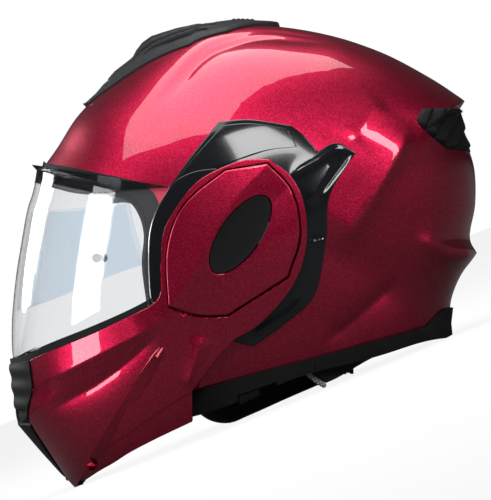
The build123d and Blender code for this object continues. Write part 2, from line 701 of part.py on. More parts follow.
# Inner sun visor, stored above the eyeport
sun_outline = [
    [(-1.2, 0.42), (-0.6, 0.22), (-0.35, 0.13)],
    [(-0.35, 0.13), (-0.07, -0.05)],
    [(-0.07, -0.05), (0.03, -0.075), (0.08, 0.0), (0.03, 0.08)],
    [(0.03, 0.08), (-0.33, 0.33)],
    [(-0.33, 0.33), (-0.42, 0.55), (-0.47, 0.85)],
    [(-0.47, 0.85), (-1.2, 1.2)],
]
sun_skin = turned(sun_radius, sun_reach)
sun_core = turned(sun_radius - sun_wall, sun_reach - sun_wall)
sun_pin_radius = 3.0
with BuildPart() as sun_visor:
    add(layer(sun_skin, sun_core, through(sun_outline)))
    add(both_sides(hub(sun_pin_radius + seat_gap, 0, overrun)), mode=Mode.SUBTRACT)
keep("sun_visor", sun_visor.part)
with BuildPart() as sun_pivot:
    add(hub(sun_pin_radius, sun_reach - sun_wall - sun_slot, shell_reach - shell_wall - nut_thickness))
keep("sun_visor_pivots", both_sides(sun_pivot.part))

# Rim trim: an outer lip over the shell's edge and a full section below it, in three lengths
trim_skin = stacked(shell_outline, shell_reach + trim_thickness, trim_thickness, coarse=True)
trim_inset = shell_wall + trim_thickness
trim_core = stacked(shell_outline, shell_reach - trim_inset, -trim_inset, coarse=True)
lip_outline = rim_top + [[(0.955, -0.39), (far, -0.3)]] + [[(far, -0.3), (far, -0.36)]]
lip_outline += backwards(below_rim[:2])
foot_outline = below_rim[:2] + [[(far, -0.36), (far, -0.5)]] + [[(far, -0.5), (0.95, -0.537)]]
foot_outline += backwards(rim_low)
notch_outline = [[(-0.09, -0.812), (0.1, -0.745)], [(0.1, -0.745), (0.1, -1)], [(0.1, -1), (-0.09, -1)]]
split_gap_share = 0.003
front_side = [[(-1, -1.5), (rim_split_share, -1.5)], [(rim_split_share, -1.5), (rim_split_share, 0)],
              [(rim_split_share, 0), (-1, 0)]]
rear_split_share = rim_split_share + split_gap_share
rear_side = [[(rear_split_share, -1.5), (far, -1.5)], [(far, -1.5), (far, 0)],
             [(far, 0), (rear_split_share, 0)]]
trim_lip = layer(trim_skin, shell_skin, through(lip_outline))
trim_foot = layer(trim_skin, trim_core, through(foot_outline))
with BuildPart() as rim_trim_right:
    add(trim_lip)
    add(trim_foot)
    add(prism(front_side, -overrun, 0), mode=Mode.INTERSECT)
keep("rim_trim_right", rim_trim_right.part)
with BuildPart() as rim_trim_left:
    add(rim_trim_right.part.mirror(RIGHT_TO_LEFT))
    add(through(notch_outline), mode=Mode.SUBTRACT)
keep("rim_trim_left", rim_trim_left.part)
with BuildPart() as rim_trim_rear:
    add(trim_lip)
    add(trim_foot)
    add(through(rear_side), mode=Mode.INTERSECT)
    add(ground_cut, mode=Mode.SUBTRACT)
keep("rim_trim_rear", rim_trim_rear.part)

# Lever of the inner sun visor, in the left trim's notch
lever_proud = 1.4
lever_skin = stacked(
    shell_outline, shell_reach + trim_thickness + lever_proud, trim_thickness + lever_proud, coarse=True
)
lever_outline = [[(-0.084, -0.816), (0.016, -0.781)], [(0.016, -0.781), (0.016, -0.812)],
                 [(0.016, -0.812), (-0.084, -0.858)]]
keep("sun_visor_lever", layer(lever_skin, trim_core, prism(lever_outline)))

# Cheek pads: cushions with a crown and drawn-in edges
cheek_outline = [
    [(-0.455, -0.36), (-0.28, -0.275), (0.03, -0.35), (0.245, -0.5), (0.315, -0.73)],
    [(0.315, -0.73), (0.16, -0.83), (-0.03, -0.915), (-0.14, -0.955), (-0.25, -0.93), (-0.34, -0.83),
     (-0.43, -0.6), (-0.455, -0.36)],
]
cheek_sections = [
    (cheek_pad_inner, 10.0),
    (cheek_pad_inner + 3.0, 3.0),
    (cheek_pad_inner + 10.0, 0.0),
    (cheek_reach - 8.0, 0.5),
    (cheek_reach - 0.6, 4.0),
]
with BuildPart() as cheek_pad:
    for out, amount in cheek_sections:
        with BuildSketch(SIDE.offset(out)):
            with BuildLine():
                trace(drawn_in(cheek_outline, amount))
            make_face()
    loft()
keep_pair("cheek_pad", cheek_pad.part)

# Neck roll around the back of the opening, with a light piping at each front end
roll_inset = trim_inset + seat_gap
roll_thickness = 14.0
roll_skin = stacked(shell_outline, shell_reach - roll_inset, -roll_inset, coarse=True)
roll_core = stacked(
    shell_outline, shell_reach - roll_inset - roll_thickness, -roll_inset - roll_thickness, coarse=True
)
roll_outline = [
    [(0.33, -0.665), (0.5, -0.6), (0.7, -0.545), (0.9, -0.485)],
    [(0.9, -0.485), (far, -0.2)],
    [(far, -0.2), (far, -0.3)],
    [(far, -0.3), (0.9, -0.54)],
    [(0.9, -0.54), (0.68, -0.605), (0.57, -0.65), (0.42, -0.73), (0.352, -0.758)],
]
keep("neck_roll", layer(roll_skin, roll_core, through(roll_outline)))
piping_outline = [[(0.3, -0.67), (0.326, -0.665)], [(0.326, -0.665), (0.348, -0.76)],
                  [(0.348, -0.76), (0.324, -0.768)]]
keep("neck_piping", layer(roll_skin, roll_core, through(piping_outline)))

# Chin strap in two lengths, riveted through the liner to the shell, and its quick-release buckle
strap_width = 20.0
strap_thickness = 2.0
strap_seat = 0.3
strap_top_share = -0.4
strap_bend_share = -0.6
buckle_drop_share = -0.66
ACROSS = Plane(
    origin=(SIDE * Pos(crown_reach * strap_share - strap_width / 2, 0)).position,
    x_dir=(0, 1, 0),
    z_dir=REARWARD,
)
strap_line = cheek_reach - strap_seat - strap_thickness / 2
tongue_end = 24.0
receiver_start = -20.0
receiver_end = 8.0


def strap(end, sign):
    """One strap length, from its rivet down and inwards to the buckle."""
    half = strap_thickness / 2
    drop = crown_reach * buckle_drop_share
    bend = crown_reach * strap_bend_share
    with BuildPart() as length:
        with BuildSketch(ACROSS):
            with BuildLine():
                middle = FilletPolyline(
                    (sign * strap_line, crown_reach * strap_top_share),
                    (sign * strap_line, bend),
                    (sign * strap_line * 0.6, drop),
                    (sign * end, drop),
                    radius=strap_thickness * 4,
                )
                offset(middle, amount=half, side=Side.BOTH)
            make_face()
        extrude(amount=strap_width)
    return length.part - rivet_hole


strap_gap = seat_gap + strap_thickness / 2
keep("chin_strap_left", strap(strap_gap - receiver_start, -1))
keep("chin_strap_right", strap(tongue_end + strap_gap, 1))
rivet_head = 1.0
rivet_head_radius = 5.0
with BuildPart() as rivet:
    add(disc(rivet_share, rivet_radius, strap_line - strap_thickness / 2 - seat_gap, shell_reach))
    add(disc(rivet_share, rivet_head_radius, strap_line - strap_thickness / 2 - seat_gap - rivet_head,
             strap_line - strap_thickness / 2 - seat_gap))
    add(liner_skin, mode=Mode.INTERSECT)
keep("strap_rivets", both_sides(rivet.part))

BUCKLE = Plane(
    origin=(SIDE * Pos(crown_reach * strap_share, crown_reach * buckle_drop_share)).position,
    x_dir=FORWARD,
    z_dir=DOWNWARD,
)
receiver_width = 24.0
receiver_height = 8.0
tongue_width = 16.0
tongue_height = 2.4
tab_width = 14.0
tab_length = 20.0
tab_height = 2.0
tab_pin_radius = 1.2
ear_width = 2.5
ear_height = 6.0
tab_axis = (receiver_start + 4.0, receiver_height / 2 + 2.2)
with BuildPart() as buckle_receiver:
    with BuildSketch(BUCKLE.offset(-receiver_height / 2)):
        with Locations((0, (receiver_start + receiver_end) / 2)):
            RectangleRounded(receiver_width, receiver_end - receiver_start, 2)
    extrude(amount=receiver_height)
    with BuildSketch(BUCKLE.offset(receiver_height / 2)):
        with Locations((0, tab_axis[0])):
            with GridLocations(receiver_width - ear_width, 0, 2, 1):
                Rectangle(ear_width, ear_height)
    extrude(amount=ear_height - 2)
    with BuildSketch(BUCKLE.offset(-tongue_height / 2 - seat_gap)):
        with Locations((0, (receiver_end - 12) / 2)):
            Rectangle(tongue_width + 2 * seat_gap, receiver_end + 12)
    extrude(amount=tongue_height + 2 * seat_gap, mode=Mode.SUBTRACT)
keep("buckle_receiver", buckle_receiver.part)
with BuildPart() as buckle_tongue:
    with BuildSketch(BUCKLE.offset(-tongue_height / 2)):
        with Locations((0, (tongue_end - 10) / 2)):
            Rectangle(tongue_width, tongue_end + 10)
        with Locations((0, tongue_end - 5)):
            Rectangle(tongue_width - 6, 3, mode=Mode.SUBTRACT)
    extrude(amount=tongue_height)
keep("buckle_tongue", buckle_tongue.part)
TAB_AXIS = Plane(
    origin=(BUCKLE * Pos(tab_width / 2, tab_axis[0], tab_axis[1])).position, x_dir=(0, 1, 0), z_dir=REARWARD
)
with BuildPart() as buckle_tab:
    with BuildSketch(TAB_AXIS):
        Circle(tab_pin_radius + 0.9)
        with Locations((tab_length / 2, 0)):
            Rectangle(tab_length, tab_height)
        Circle(tab_pin_radius + seat_gap / 2, mode=Mode.SUBTRACT)
    extrude(amount=tab_width)
keep("buckle_tab", buckle_tab.part)
with BuildPart() as buckle_pin:
    with BuildSketch(TAB_AXIS.offset((tab_width - receiver_width) / 2 + ear_width)):
        Circle(tab_pin_radius)
    extrude(amount=receiver_width - 2 * ear_width)
keep("buckle_pin", buckle_pin.part)

# Striker pins on the shell's lower front corners, caught by a hook in each chin bar arm
striker_share = (-0.375, -0.775)
hook_pivot_share = (-0.415, -0.675)
hook_lift = 1.0
hook_wall = 2.2
striker_top = turned(crown_reach * chin_bore_share + hook_lift + hook_wall, chin_bore_reach + hook_lift + hook_wall)
keep("striker_pins", layer(striker_top, shell_skin, both_sides(disc(striker_share, pin_radius, 0, overrun))))
hook_outline = [
    [(-0.455, -0.66), (-0.395, -0.64)],
    [(-0.395, -0.64), (-0.335, -0.715)],
    [(-0.335, -0.715), (-0.325, -0.757)],
    [(-0.325, -0.757), (-0.37, -0.735)],
    [(-0.37, -0.735), (-0.44, -0.7)],
]
hook_core = turned(crown_reach * chin_bore_share + hook_lift, chin_bore_reach + hook_lift)
hook_pin_radius = 2.0
with BuildPart() as latch_hook:
    add(layer(striker_top, hook_core, prism(hook_outline)))
    add(disc(hook_pivot_share, hook_pin_radius + seat_gap / 2, 0, overrun), mode=Mode.SUBTRACT)
keep_pair("latch_hook", latch_hook.part)
keep("hook_pins", layer(chin_hollow, chin_bore, both_sides(disc(hook_pivot_share, hook_pin_radius, 0, overrun))))
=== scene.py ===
import json
import math

import bmesh
import bpy
import numpy as np
from bpy.props import FloatProperty, FloatVectorProperty, PointerProperty
from mathutils import Matrix, Vector


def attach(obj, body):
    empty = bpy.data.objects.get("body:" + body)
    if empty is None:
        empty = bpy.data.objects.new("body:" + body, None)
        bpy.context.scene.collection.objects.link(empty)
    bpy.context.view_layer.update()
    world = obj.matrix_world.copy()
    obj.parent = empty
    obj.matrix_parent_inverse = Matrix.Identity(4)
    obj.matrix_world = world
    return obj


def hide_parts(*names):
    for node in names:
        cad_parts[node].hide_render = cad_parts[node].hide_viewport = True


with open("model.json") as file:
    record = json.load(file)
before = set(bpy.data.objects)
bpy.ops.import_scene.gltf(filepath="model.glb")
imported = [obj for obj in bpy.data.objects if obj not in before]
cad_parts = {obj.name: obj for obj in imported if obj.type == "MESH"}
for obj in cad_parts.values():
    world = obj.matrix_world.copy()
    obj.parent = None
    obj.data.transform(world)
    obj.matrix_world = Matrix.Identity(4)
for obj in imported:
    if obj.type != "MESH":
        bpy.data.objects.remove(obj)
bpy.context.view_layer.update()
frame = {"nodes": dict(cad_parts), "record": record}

bl_info = {
    "name": "Modular helmet",
    "version": (1, 0, 0),
    "blender": (4, 5, 0),
    "location": "3D View > Sidebar > Helmet",
    "description": "Dresses a modular motorcycle helmet with its outer surfaces and finishes",
    "category": "Object",
}

# The side view of the worn helmet is measured in shares of CROWN from the chin bar's pivot:
# first rearward, then up. The helmet stands tipped back by TILT. Lengths are in metres.
CROWN = 0.14
TILT = math.radians(22.0)
PIVOT = (0.0179, 0.0, 0.1191)
VIEW_CENTRE = (-0.0525, -0.1)

# A form's half width, and the power and share of the curve by which its sides draw in
SHELL_REACH = 0.114
VISOR_REACH = 0.1204
CHIN_REACH = 0.126
PAD_REACH = 0.085
FULLNESS = 2.3
CAP = 0.98
CAP_FROM = 0.9

# Fineness of curves, of lines that distances are taken to, of outlines and their easing, of edges and bands
SPAN_POINTS = 16
LINE_POINTS = 40
RAYS = 1440
EASE_RAYS = 90
EASE_WIDTH = 36.0
EDGE_STEPS = 6
CORD_SIDES = 20
BEND_POINTS = 14
BAND_POINTS = 120

OVAL_PLACE = (-0.077, -0.025)
OVAL_SIZE = (0.031, 0.0135)
OVAL_ANGLE = math.radians(55.0)


def run(*thousandths):
    """Side-view points from thousandths of CROWN: rearward and up in turn."""
    return [(x / 1000, z / 1000) for x, z in zip(thousandths[::2], thousandths[1::2])]


# Shell: its silhouette, the rim and the opening
SHELL_CROWN = run(-1073, 273, -1070, 300, -990, 415, -890, 570, -755, 700, -530, 870, -280, 990,
                  0, 1025, 320, 985, 620, 890, 870, 760, 1045, 645)
SHELL_SPOILER = run(1045, 645, 1015, 600)
SHELL_BACK = run(1015, 600, 1040, 470, 1090, 310, 1095, 125, 1065, -40, 1105, -115)
SHELL_TAIL = run(1105, -115, 1035, -200, 980, -330, 966.5, -433)
SHELL_UNDER = run(966.5, -433, 975, -600, 920, -850, 720, -1150, 370, -1375, 0, -1450, -430, -1375,
                  -730, -1100, -920, -650, -1030, -300, -1070, 0, -1073, 273)
RIM = run(966.5, -433, 905, -458, 845, -518, 620, -578, 270, -673, -30, -753, -450, -885)
CHEEK = run(-450, -885, -465, -700, -530, -375, -555, -175)
EYEPORT = run(-555, -175, -540, -25, -565, 90, -635, 160)
BROW = run(-635, 160, -1073, 273)

# Visor: its silhouette, the lens and the arms
VISOR_FRONT = run(-1087, 319.6, -1115, 190, -1145, 90, -1180, -110, -1200, -240, -1218, -425,
                  -1220, -575, -1214, -641)
VISOR_UNDER = run(-1214, -641, -980, -970, -530, -1270, 0, -1375, 520, -1200, 820, -800, 995, -350,
                  1090, 0, 950, 550, 580, 935, 0, 1100, -580, 940, -900, 660, -1087, 319.6)
LENS_LOW = run(-1214, -641, -1180, -635, -1030, -585, -780, -480, -500, -360)
LENS_REAR = run(-500, -360, -520, -300, -525, -50, -490, 90, -420, 210)
LENS_TOP = run(-420, 210, -1087, 319.6)
ARM_TOP = run(-420, 210, -380, 250, -300, 285, -200, 300)
ARM_REST = run(-200, 300, 30, 130, 100, 0, 30, -130, -300, -290, -500, -360)

# Chin bar: its silhouette, arms, parting line and vent
CHIN_FRONT = run(-1228, -668, -1220, -740, -1205, -850, -1185, -970)
CHIN_CORNER = run(-1185, -970, -1065, -1110, -905, -1288)
CHIN_UNDER = run(-905, -1288, -500, -1500, 0, -1575, 600, -1460, 1100, -1050, 1400, -500, 1450, 0,
                 1350, 600, 900, 1150, 0, 1450, -700, 1250, -1200, 600, -1300, 0, -1260, -400,
                 -1228, -668)
CHIN_TOP = run(-530, -380, -780, -500, -1030, -605, -1120, -645)
CHIN_SHOULDER = run(-460, -285, -485, -345, -530, -380)
POD_FRONT = run(60, 345, -80, 335, -280, 240, -405, 85, -460, -50, -460, -285)
POD_REAR = run(-110, -540, 30, -450, 185, -265, 245, -75, 235, 120, 170, 260, 60, 345)
CHIN_TIP = run(-940, -1250, -905, -1288)
ARM_REAR = run(-315, -795, -205, -650, -110, -540)
PARTING = run(-905, -1288, -843, -1197, -780, -1105, -705, -1052, -630, -1005, -530, -930, -430, -865,
              -315, -795)
CHIN_LOW = run(-905, -1288, -880, -1270, -780, -1200, -705, -1155, -630, -1105, -530, -1050,
               -430, -1000, -315, -945)
VENT_EDGE = run(-1120, -645, -1110, -725, -1105, -790, -1125, -870, -1125, -950, -1055, -1070,
                -940, -1250)
VENT_FRONT = run(-1227.5, -670, -1220, -740, -1205, -850, -1185, -970, -1065, -1110, -935, -1256)

# Plates, panels and pod covers, each a closed boundary
PLATE = [
    run(-420, 210, -330, 340, -180, 525),
    run(-180, 525, -30, 535, 170, 505),
    run(170, 505, 235, 455, 300, 380),
    run(300, 380, 390, 420, 485, 375),
    run(485, 375, 360, 170, 340, -50, 285, -315, 145, -455, -15, -570),
    run(-15, -570, -300, -500),
    run(-300, -500, -450, -300, -500, -50, -470, 100, -420, 210),
]
PANEL = [
    run(-390, 235, -310, 340, -165, 505),
    run(-165, 505, -30, 515, 155, 487),
    run(155, 487, 200, 400),
    run(200, 400, 70, 385, -55, 345),
    run(-55, 345, -200, 300),
    run(-200, 300, -390, 235),
]
COVER = [
    run(-425, -370, -435, -125, -390, 50, -305, 165, -150, 285),
    run(-150, 285, 55, 318),
    run(55, 318, 170, 185, 210, -25, 150, -230),
    run(150, -230, -140, -415),
    run(-140, -415, -280, -415, -425, -370),
]

# Rear exhaust vent; crown vent's top edge, half width, and the borders of its slots as shares of the flank
EXHAUST = [
    run(1018, 604, 820, 597),
    run(820, 597, 790, 545),
    run(790, 545, 805, 515, 870, 455, 945, 400),
    run(945, 400, 1066, 390),
]
EXHAUST_BACK = run(1066, 390, 1040, 470, 1018, 604)
VENT_TOP = run(-840, 640, -830, 650, -720, 750, -718, 760, -680, 800, -630, 838, -590, 870, -565, 905,
               -530, 945, -480, 980, -430, 995, -380, 1010, -330, 1020, -280, 1030, -255, 1028,
               -190, 1042, -130, 1050, -80, 1052, -30, 1050, 70, 1045, 105, 1040, 120, 1025)
VENT_WIDTH = run(-850, 0, -835, 100, -820, 130, -700, 200, -330, 315, -290, 290, -140, 260, 110, 30,
                 120, 0)
VENT_SLOTS = [
    (run(-790, 100, -500, 100, -200, 80), run(-790, 280, -500, 300, -200, 240)),
    (run(-700, 440, -200, 360), run(-700, 480, -500, 600, -200, 520)),
    (run(-540, 700, -240, 620), run(-540, 720, -400, 820, -240, 760)),
]

# Pads and the opening's frame
HEAD = run(-760, 100, -700, 360, -500, 620, -200, 780, 100, 810, 420, 740, 680, 540, 810, 250, 810, -80,
           720, -420)
HEAD_UNDER = run(720, -420, 500, -800, 0, -950, -500, -850, -720, -420, -760, 100)
CROWN_PAD_LOW = run(-748, 150, -500, 120, 0, 50, 500, -100, 812, -130)
CROWN_PAD_TOP = run(812, -130, 810, 250, 680, 540, 420, 740, 100, 810, -200, 780, -500, 620, -700, 360,
                    -748, 150)
CHEEK_PAD = [
    run(-455, -360, -280, -275, 30, -350, 245, -500, 335, -755),
    run(335, -755, 160, -830, -30, -915, -140, -955, -250, -930, -340, -830, -430, -600, -455, -360),
]
ROLL_LOW = run(350, -768, 420, -735, 570, -650, 680, -605, 850, -555, 930, -535)
ROLL_TOP = run(240, -690, 340, -645, 500, -600, 700, -545, 880, -490, 930, -475)
PIPING = run(343, -770, 295, -740, 235, -688)
FRAME_INSIDE = run(-533, -375, -558, -175, -548, -25, -580, 85, -645, 148, -800, 190, -950, 230,
                   -1073, 262)
FRAME_OUTSIDE = run(-450, -375, -470, -175, -460, 0, -480, 140, -560, 225, -760, 275, -930, 310,
                    -1065, 335)

# Ridges, creases and valleys
NOTCH_RIB = run(150, 240, 220, 295, 320, 350, 370, 385, 445, 390)
NOTCH_EDGE = run(250, 120, 320, 230, 395, 350)
NOTCH_LOW = run(300, 155, 385, 270, 470, 385)
PLATE_JOINT = run(250, -50, 340, -30)
PLATE_SHINE = run(250, -310, 145, -415, -55, -535)
DOME_LINE = run(-515, 560, -480, 630, -420, 715, -380, 765, -330, 835, -280, 885, -230, 920, -180, 940,
                -105, 965, -30, 985, 70, 995, 170, 985, 370, 950, 470, 920)
SHORT_RIDGE = run(465, 405, 520, 495, 580, 590, 620, 650)
LONG_RIDGE = run(380, -140, 445, -35, 545, 125, 620, 250, 705, 400, 770, 550)
LOWER_VALLEY = run(320, -575, 395, -515, 495, -440, 595, -350, 670, -280, 705, -255, 745, -250)
TAIL_RIDGE = run(770, -45, 870, -80, 920, -110, 970, -125, 1105, -115)
CHIN_CREST = run(-1105, -790, -1040, -750, -745, -600, -530, -485, -440, -400)
CHIN_VALLEY = run(-1040, -930, -980, -875, -830, -790, -730, -725, -630, -650, -530, -560, -455, -475)
CHIN_SLIVER = run(-255, -505, -300, -650, -345, -790)
COVER_FOLD = run(45, 300, -80, 175, -155, 60, -255, -110, -330, -250, -405, -360)


# Curves and forms

def smooth_step(t):
    """From 0 to 1 with a level start and end."""
    return t * t * (3 - 2 * t)


def rising(value, over):
    """From 0 at 0 to 1 at over, level on both sides."""
    return np.clip(value / over, 0, 1)


def smooth_run(points):
    """Points on a Catmull-Rom curve: a cubic for each span, with its slopes along the neighbouring points."""
    p = np.asarray(points, float)
    if len(p) == 2:
        return p[0] + np.linspace(0, 1, 2 * SPAN_POINTS)[:, None] * (p[1] - p[0])
    q = np.vstack([2 * p[0] - p[1], p, 2 * p[-1] - p[-2]])
    t = np.linspace(0, 1, SPAN_POINTS, endpoint=False)[None, :, None]
    a, b, c, d = (q[k:len(q) - 3 + k][:, None, :] for k in range(4))
    spans = 0.5 * (2 * b + (c - a) * t + (2 * a - 5 * b + 4 * c - d) * t ** 2
                   + (3 * b - a - 3 * c + d) * t ** 3)
    return np.vstack([spans.reshape(-1, 2), p[-1:]])


def lengths(points):
    """Length of a line of points up to each of them."""
    return np.r_[0, np.cumsum(np.linalg.norm(np.diff(points, axis=0), axis=1))]


def spread(points, shares):
    """Places on a curve at given shares of its length."""
    length = lengths(points)
    return np.stack([np.interp(shares * length[-1], length, points[:, k]) for k in (0, 1)], axis=1)


def even(points, count):
    """The same curve at a count of places evenly spaced along it, both ends included."""
    return spread(points, np.linspace(0, 1, count))


def boundary(runs, step):
    """A closed boundary, one part for each run: a point at each corner and about one a step between."""
    curves = [smooth_run(points) for points in runs]
    return [even(curve, max(2, int(lengths(curve)[-1] / step) + 2))[:-1] for curve in curves]


class Outline:
    """A closed side-view curve that every ray from its centre crosses once, grown by grow metres."""

    def __init__(self, runs, centre, grow=0.0):
        self.centre = np.asarray(centre, float)
        ray = np.vstack([smooth_run(points) for points in runs]) - self.centre
        angle = np.arctan2(ray[:, 1], ray[:, 0])
        order = np.argsort(angle)
        self.angle = np.linspace(-math.pi, math.pi, RAYS, endpoint=False)
        self.radius = np.interp(self.angle, angle[order], np.hypot(ray[:, 0], ray[:, 1])[order],
                                period=2 * math.pi) + grow / CROWN
        weight = np.exp(-(np.arange(-EASE_RAYS, EASE_RAYS + 1) / EASE_WIDTH) ** 2)
        around = np.concatenate([self.radius[-EASE_RAYS:], self.radius, self.radius[:EASE_RAYS]])
        self.eased = np.convolve(around, weight / weight.sum(), "valid")

    def share(self, x, z, ease=False):
        """Distance of a place from the centre over that of the curve in the same direction. With ease the
        curve's corners fade out inwards, so that they leave no creases on the form."""
        ease_from, ease_over = 0.72, 0.26
        x, z = x - self.centre[0], z - self.centre[1]
        away, turn = np.hypot(x, z), np.arctan2(z, x)
        exact = away / np.interp(turn, self.angle, self.radius, period=2 * math.pi)
        if not ease:
            return exact
        eased = away / np.interp(turn, self.angle, self.eased, period=2 * math.pi)
        return eased + (exact - eased) * smooth_step(rising(exact - ease_from, ease_over))


class Form:
    """A helmet form: at a share q of the way from the pivot to its side outline it is
    reach * (1 - q ** 2) ** (1 / FULLNESS) / CAP away from the middle, eased over to reach about the pivot."""

    def __init__(self, runs, reach, grow=0.0):
        self.outline = Outline(runs, (0, 0), grow)
        self.reach = reach + grow

    def depth(self, x, z):
        """Distance from the middle plane at a place in the side view, in metres."""
        q = np.clip(self.outline.share(x, z, ease=True), 0, 1)
        t = (1 - q * q) ** (1 / FULLNESS) / CAP
        near = rising(t - CAP_FROM, 1 / CAP - CAP_FROM)
        return self.reach * (t - (1 / CAP - 1) * smooth_step(near))

    def onto_silhouette(self, points):
        """The same places, moved along their lines to the pivot onto the silhouette."""
        return points / self.outline.share(points[:, 0], points[:, 1])[:, None]


class Flat:
    """A plane at one distance from the middle."""

    def __init__(self, away):
        self.away = away

    def depth(self, x, z):
        """The same distance everywhere."""
        return np.full(np.shape(x), self.away)


SHELL_RUNS = [SHELL_CROWN, SHELL_SPOILER, SHELL_BACK, SHELL_TAIL, SHELL_UNDER]
SHELL = Form(SHELL_RUNS, SHELL_REACH)
VISOR = Form([VISOR_FRONT, VISOR_UNDER], VISOR_REACH)
CHIN = Form([CHIN_FRONT, CHIN_CORNER, CHIN_UNDER], CHIN_REACH)
ROLL = Form(SHELL_RUNS, SHELL_REACH, -0.0061)
PAD = Form([HEAD, HEAD_UNDER], PAD_REACH, -0.0003)


def row_frame(x, y, z):
    """Side-view shares x and z and a depth y in metres as places in the model's frame."""
    x, y, z = np.broadcast_arrays(x * CROWN, y, z * CROWN)
    return np.stack([x * math.cos(TILT) + z * math.sin(TILT) + PIVOT[0], y,
                     -x * math.sin(TILT) + z * math.cos(TILT) + PIVOT[2]], axis=-1)


def distance_to(x, z, line):
    """Distance in metres from each place to a side-view curve, signed: positive on its right-hand side
    when it is followed, with the share of the curve's length at the nearest place."""
    curve = even(smooth_run(line), LINE_POINTS) * CROWN
    start, step = curve[:-1], np.diff(curve, axis=0)
    place = np.stack([x, z], axis=-1)[..., None, :] * CROWN
    along = np.clip(((place - start) * step).sum(-1) / (step * step).sum(-1), 0, 1)
    away = place - start - along[..., None] * step
    length = np.hypot(away[..., 0], away[..., 1])
    closest = np.argmin(length, axis=-1)[..., None]
    side = step[:, 1] * away[..., 0] - step[:, 0] * away[..., 1]
    share = (along + np.arange(len(step))) / len(step)
    length, side, share = (np.take_along_axis(value, closest, -1)[..., 0] for value in (length, side, share))
    return length * np.sign(side), share


def nearest(x, z, curves):
    """Distance in metres to the nearest of several side-view curves."""
    return np.min([np.abs(distance_to(x, z, curve)[0]) for curve in curves], axis=0)


def fading(share, rate):
    """1 along a curve, falling smoothly to 0 over 1 / rate of its length at both ends."""
    return smooth_step(rising(share, 1 / rate) * rising(1 - share, 1 / rate))


def crest(x, z, line, height, right, left):
    """A crest, or with a negative height a valley, along a curve: it falls off as exp(-distance / width) to
    each side, its top rounded over half a millimetre, and fades towards its ends."""
    tip = 5e-4
    away, share = distance_to(x, z, line)
    width = np.where(away > 0, right, left)
    return height * fading(share, 4) * np.exp(-(np.sqrt(away * away + tip * tip) - tip) / width)


def crests(x, z, base, rows, scale=1.0):
    """A base height with crests on it: rows of curve, height in units of scale, right and left width."""
    for line, height, right, left in rows:
        base = base + crest(x, z, line, height * scale, right, left)
    return base


def step_line(x, z, line, height, width, reach):
    """A step down to the right of a curve that rises again over the distance reach."""
    away, share = distance_to(x, z, line)
    down = smooth_step(rising(away, width))
    return -height * fading(share, 2.5) * down * np.exp(-np.maximum(away, 0) / reach)


def constant(height):
    """A lift that is the same everywhere."""
    return lambda x, z: np.full(x.shape, height)


# Grids to closed meshes

def unit(vectors):
    """Vectors along the last axis, scaled to length 1."""
    return vectors / np.maximum(np.linalg.norm(vectors, axis=-1, keepdims=True), 1e-12)


def normals(grid, closed):
    """Unit normals of a grid of places, pointing away from the middle of the helmet."""
    if closed:
        across = np.roll(grid, -1, axis=1) - np.roll(grid, 1, axis=1)
    else:
        across = np.gradient(grid, axis=1)
    normal = unit(np.cross(across, np.gradient(grid, axis=0)))
    starts_at_a_point = np.linalg.norm(np.ptp(grid[0], axis=0)) < 1e-6
    if starts_at_a_point:
        normal[0] = unit(normal[1].mean(axis=0))
    inward = (normal * (grid - np.array(PIVOT))).sum() < 0
    return -normal if inward else normal


def quads(index, closed):
    """Quad corners of a grid of vertex numbers."""
    if closed:
        index = np.hstack([index, index[:, :1]])
    return np.stack([index[:-1, :-1], index[:-1, 1:], index[1:, 1:], index[1:, :-1]], axis=-1).reshape(-1, 4)


def slab(outer, inner, closed, open_first, open_last, row_step=1):
    """Vertices and quads of a solid between an outer and an inner grid, with lips where a border is open.
    The two flags are arrays with one value per column; the inner grid keeps one row in row_step."""
    rows, columns = outer.shape[:2]
    kept = np.unique(np.r_[0:rows:row_step, rows - 1])
    top = np.arange(rows * columns).reshape(rows, columns)
    low = rows * columns + np.arange(len(kept) * columns).reshape(len(kept), columns)
    faces = [quads(top, closed), quads(low, closed)[:, ::-1]]
    for row, flags in ((0, open_first), (-1, open_last)):
        lip = quads(np.stack([top[row], low[row]]), closed)
        ahead = np.r_[flags[1:], flags[:1]] if closed else flags[1:]
        faces.append(lip[(flags if closed else flags[:-1]) & ahead])
    if not closed:
        for column in (0, -1):
            faces.append(quads(np.stack([top[kept, column], low[:, column]]), False))
    return np.vstack([outer.reshape(-1, 3), inner[kept].reshape(-1, 3)]), np.vstack(faces)


def both_halves(shape):
    """The left half's mesh together with its mirror image."""
    vertices, faces = shape
    return np.vstack([vertices, vertices * (1, -1, 1)]), np.vstack([faces, faces[:, ::-1] + len(vertices)])


def piece(name, shape, body, stands_for, slot, sharp=40.0, finish=None, mark=None):
    """A finished mesh object: doubles merged, normals outward, smooth but for edges sharper than an angle,
    nothing under the ground. Painted shade can be given as one value per vertex, which the material reads:
    near black where it is 1."""
    vertices, faces = np.array(shape[0], float), np.asarray(shape[1])
    vertices[:, 2] = np.maximum(vertices[:, 2], 0)
    mesh = bpy.data.meshes.new(name)
    mesh.from_pydata(vertices.tolist(), [], faces.tolist())
    if mark is not None:
        mesh.attributes.new("mark", "FLOAT", "POINT").data.foreach_set("value", np.asarray(mark, np.float32))
    work = bmesh.new()
    work.from_mesh(mesh)
    bmesh.ops.remove_doubles(work, verts=work.verts, dist=2e-6)
    bmesh.ops.dissolve_degenerate(work, edges=work.edges, dist=1e-7)
    bmesh.ops.recalc_face_normals(work, faces=work.faces)
    work.to_mesh(mesh)
    work.free()
    mesh.polygons.foreach_set("use_smooth", np.ones(len(mesh.polygons), bool))
    mesh.set_sharp_from_angle(angle=math.radians(sharp))
    mesh.materials.append(finish_of(finish or slot))
    thing = bpy.data.objects.new(name, mesh)
    bpy.context.scene.collection.objects.link(thing)
    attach(thing, body)
    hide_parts(*stands_for)
    return thing


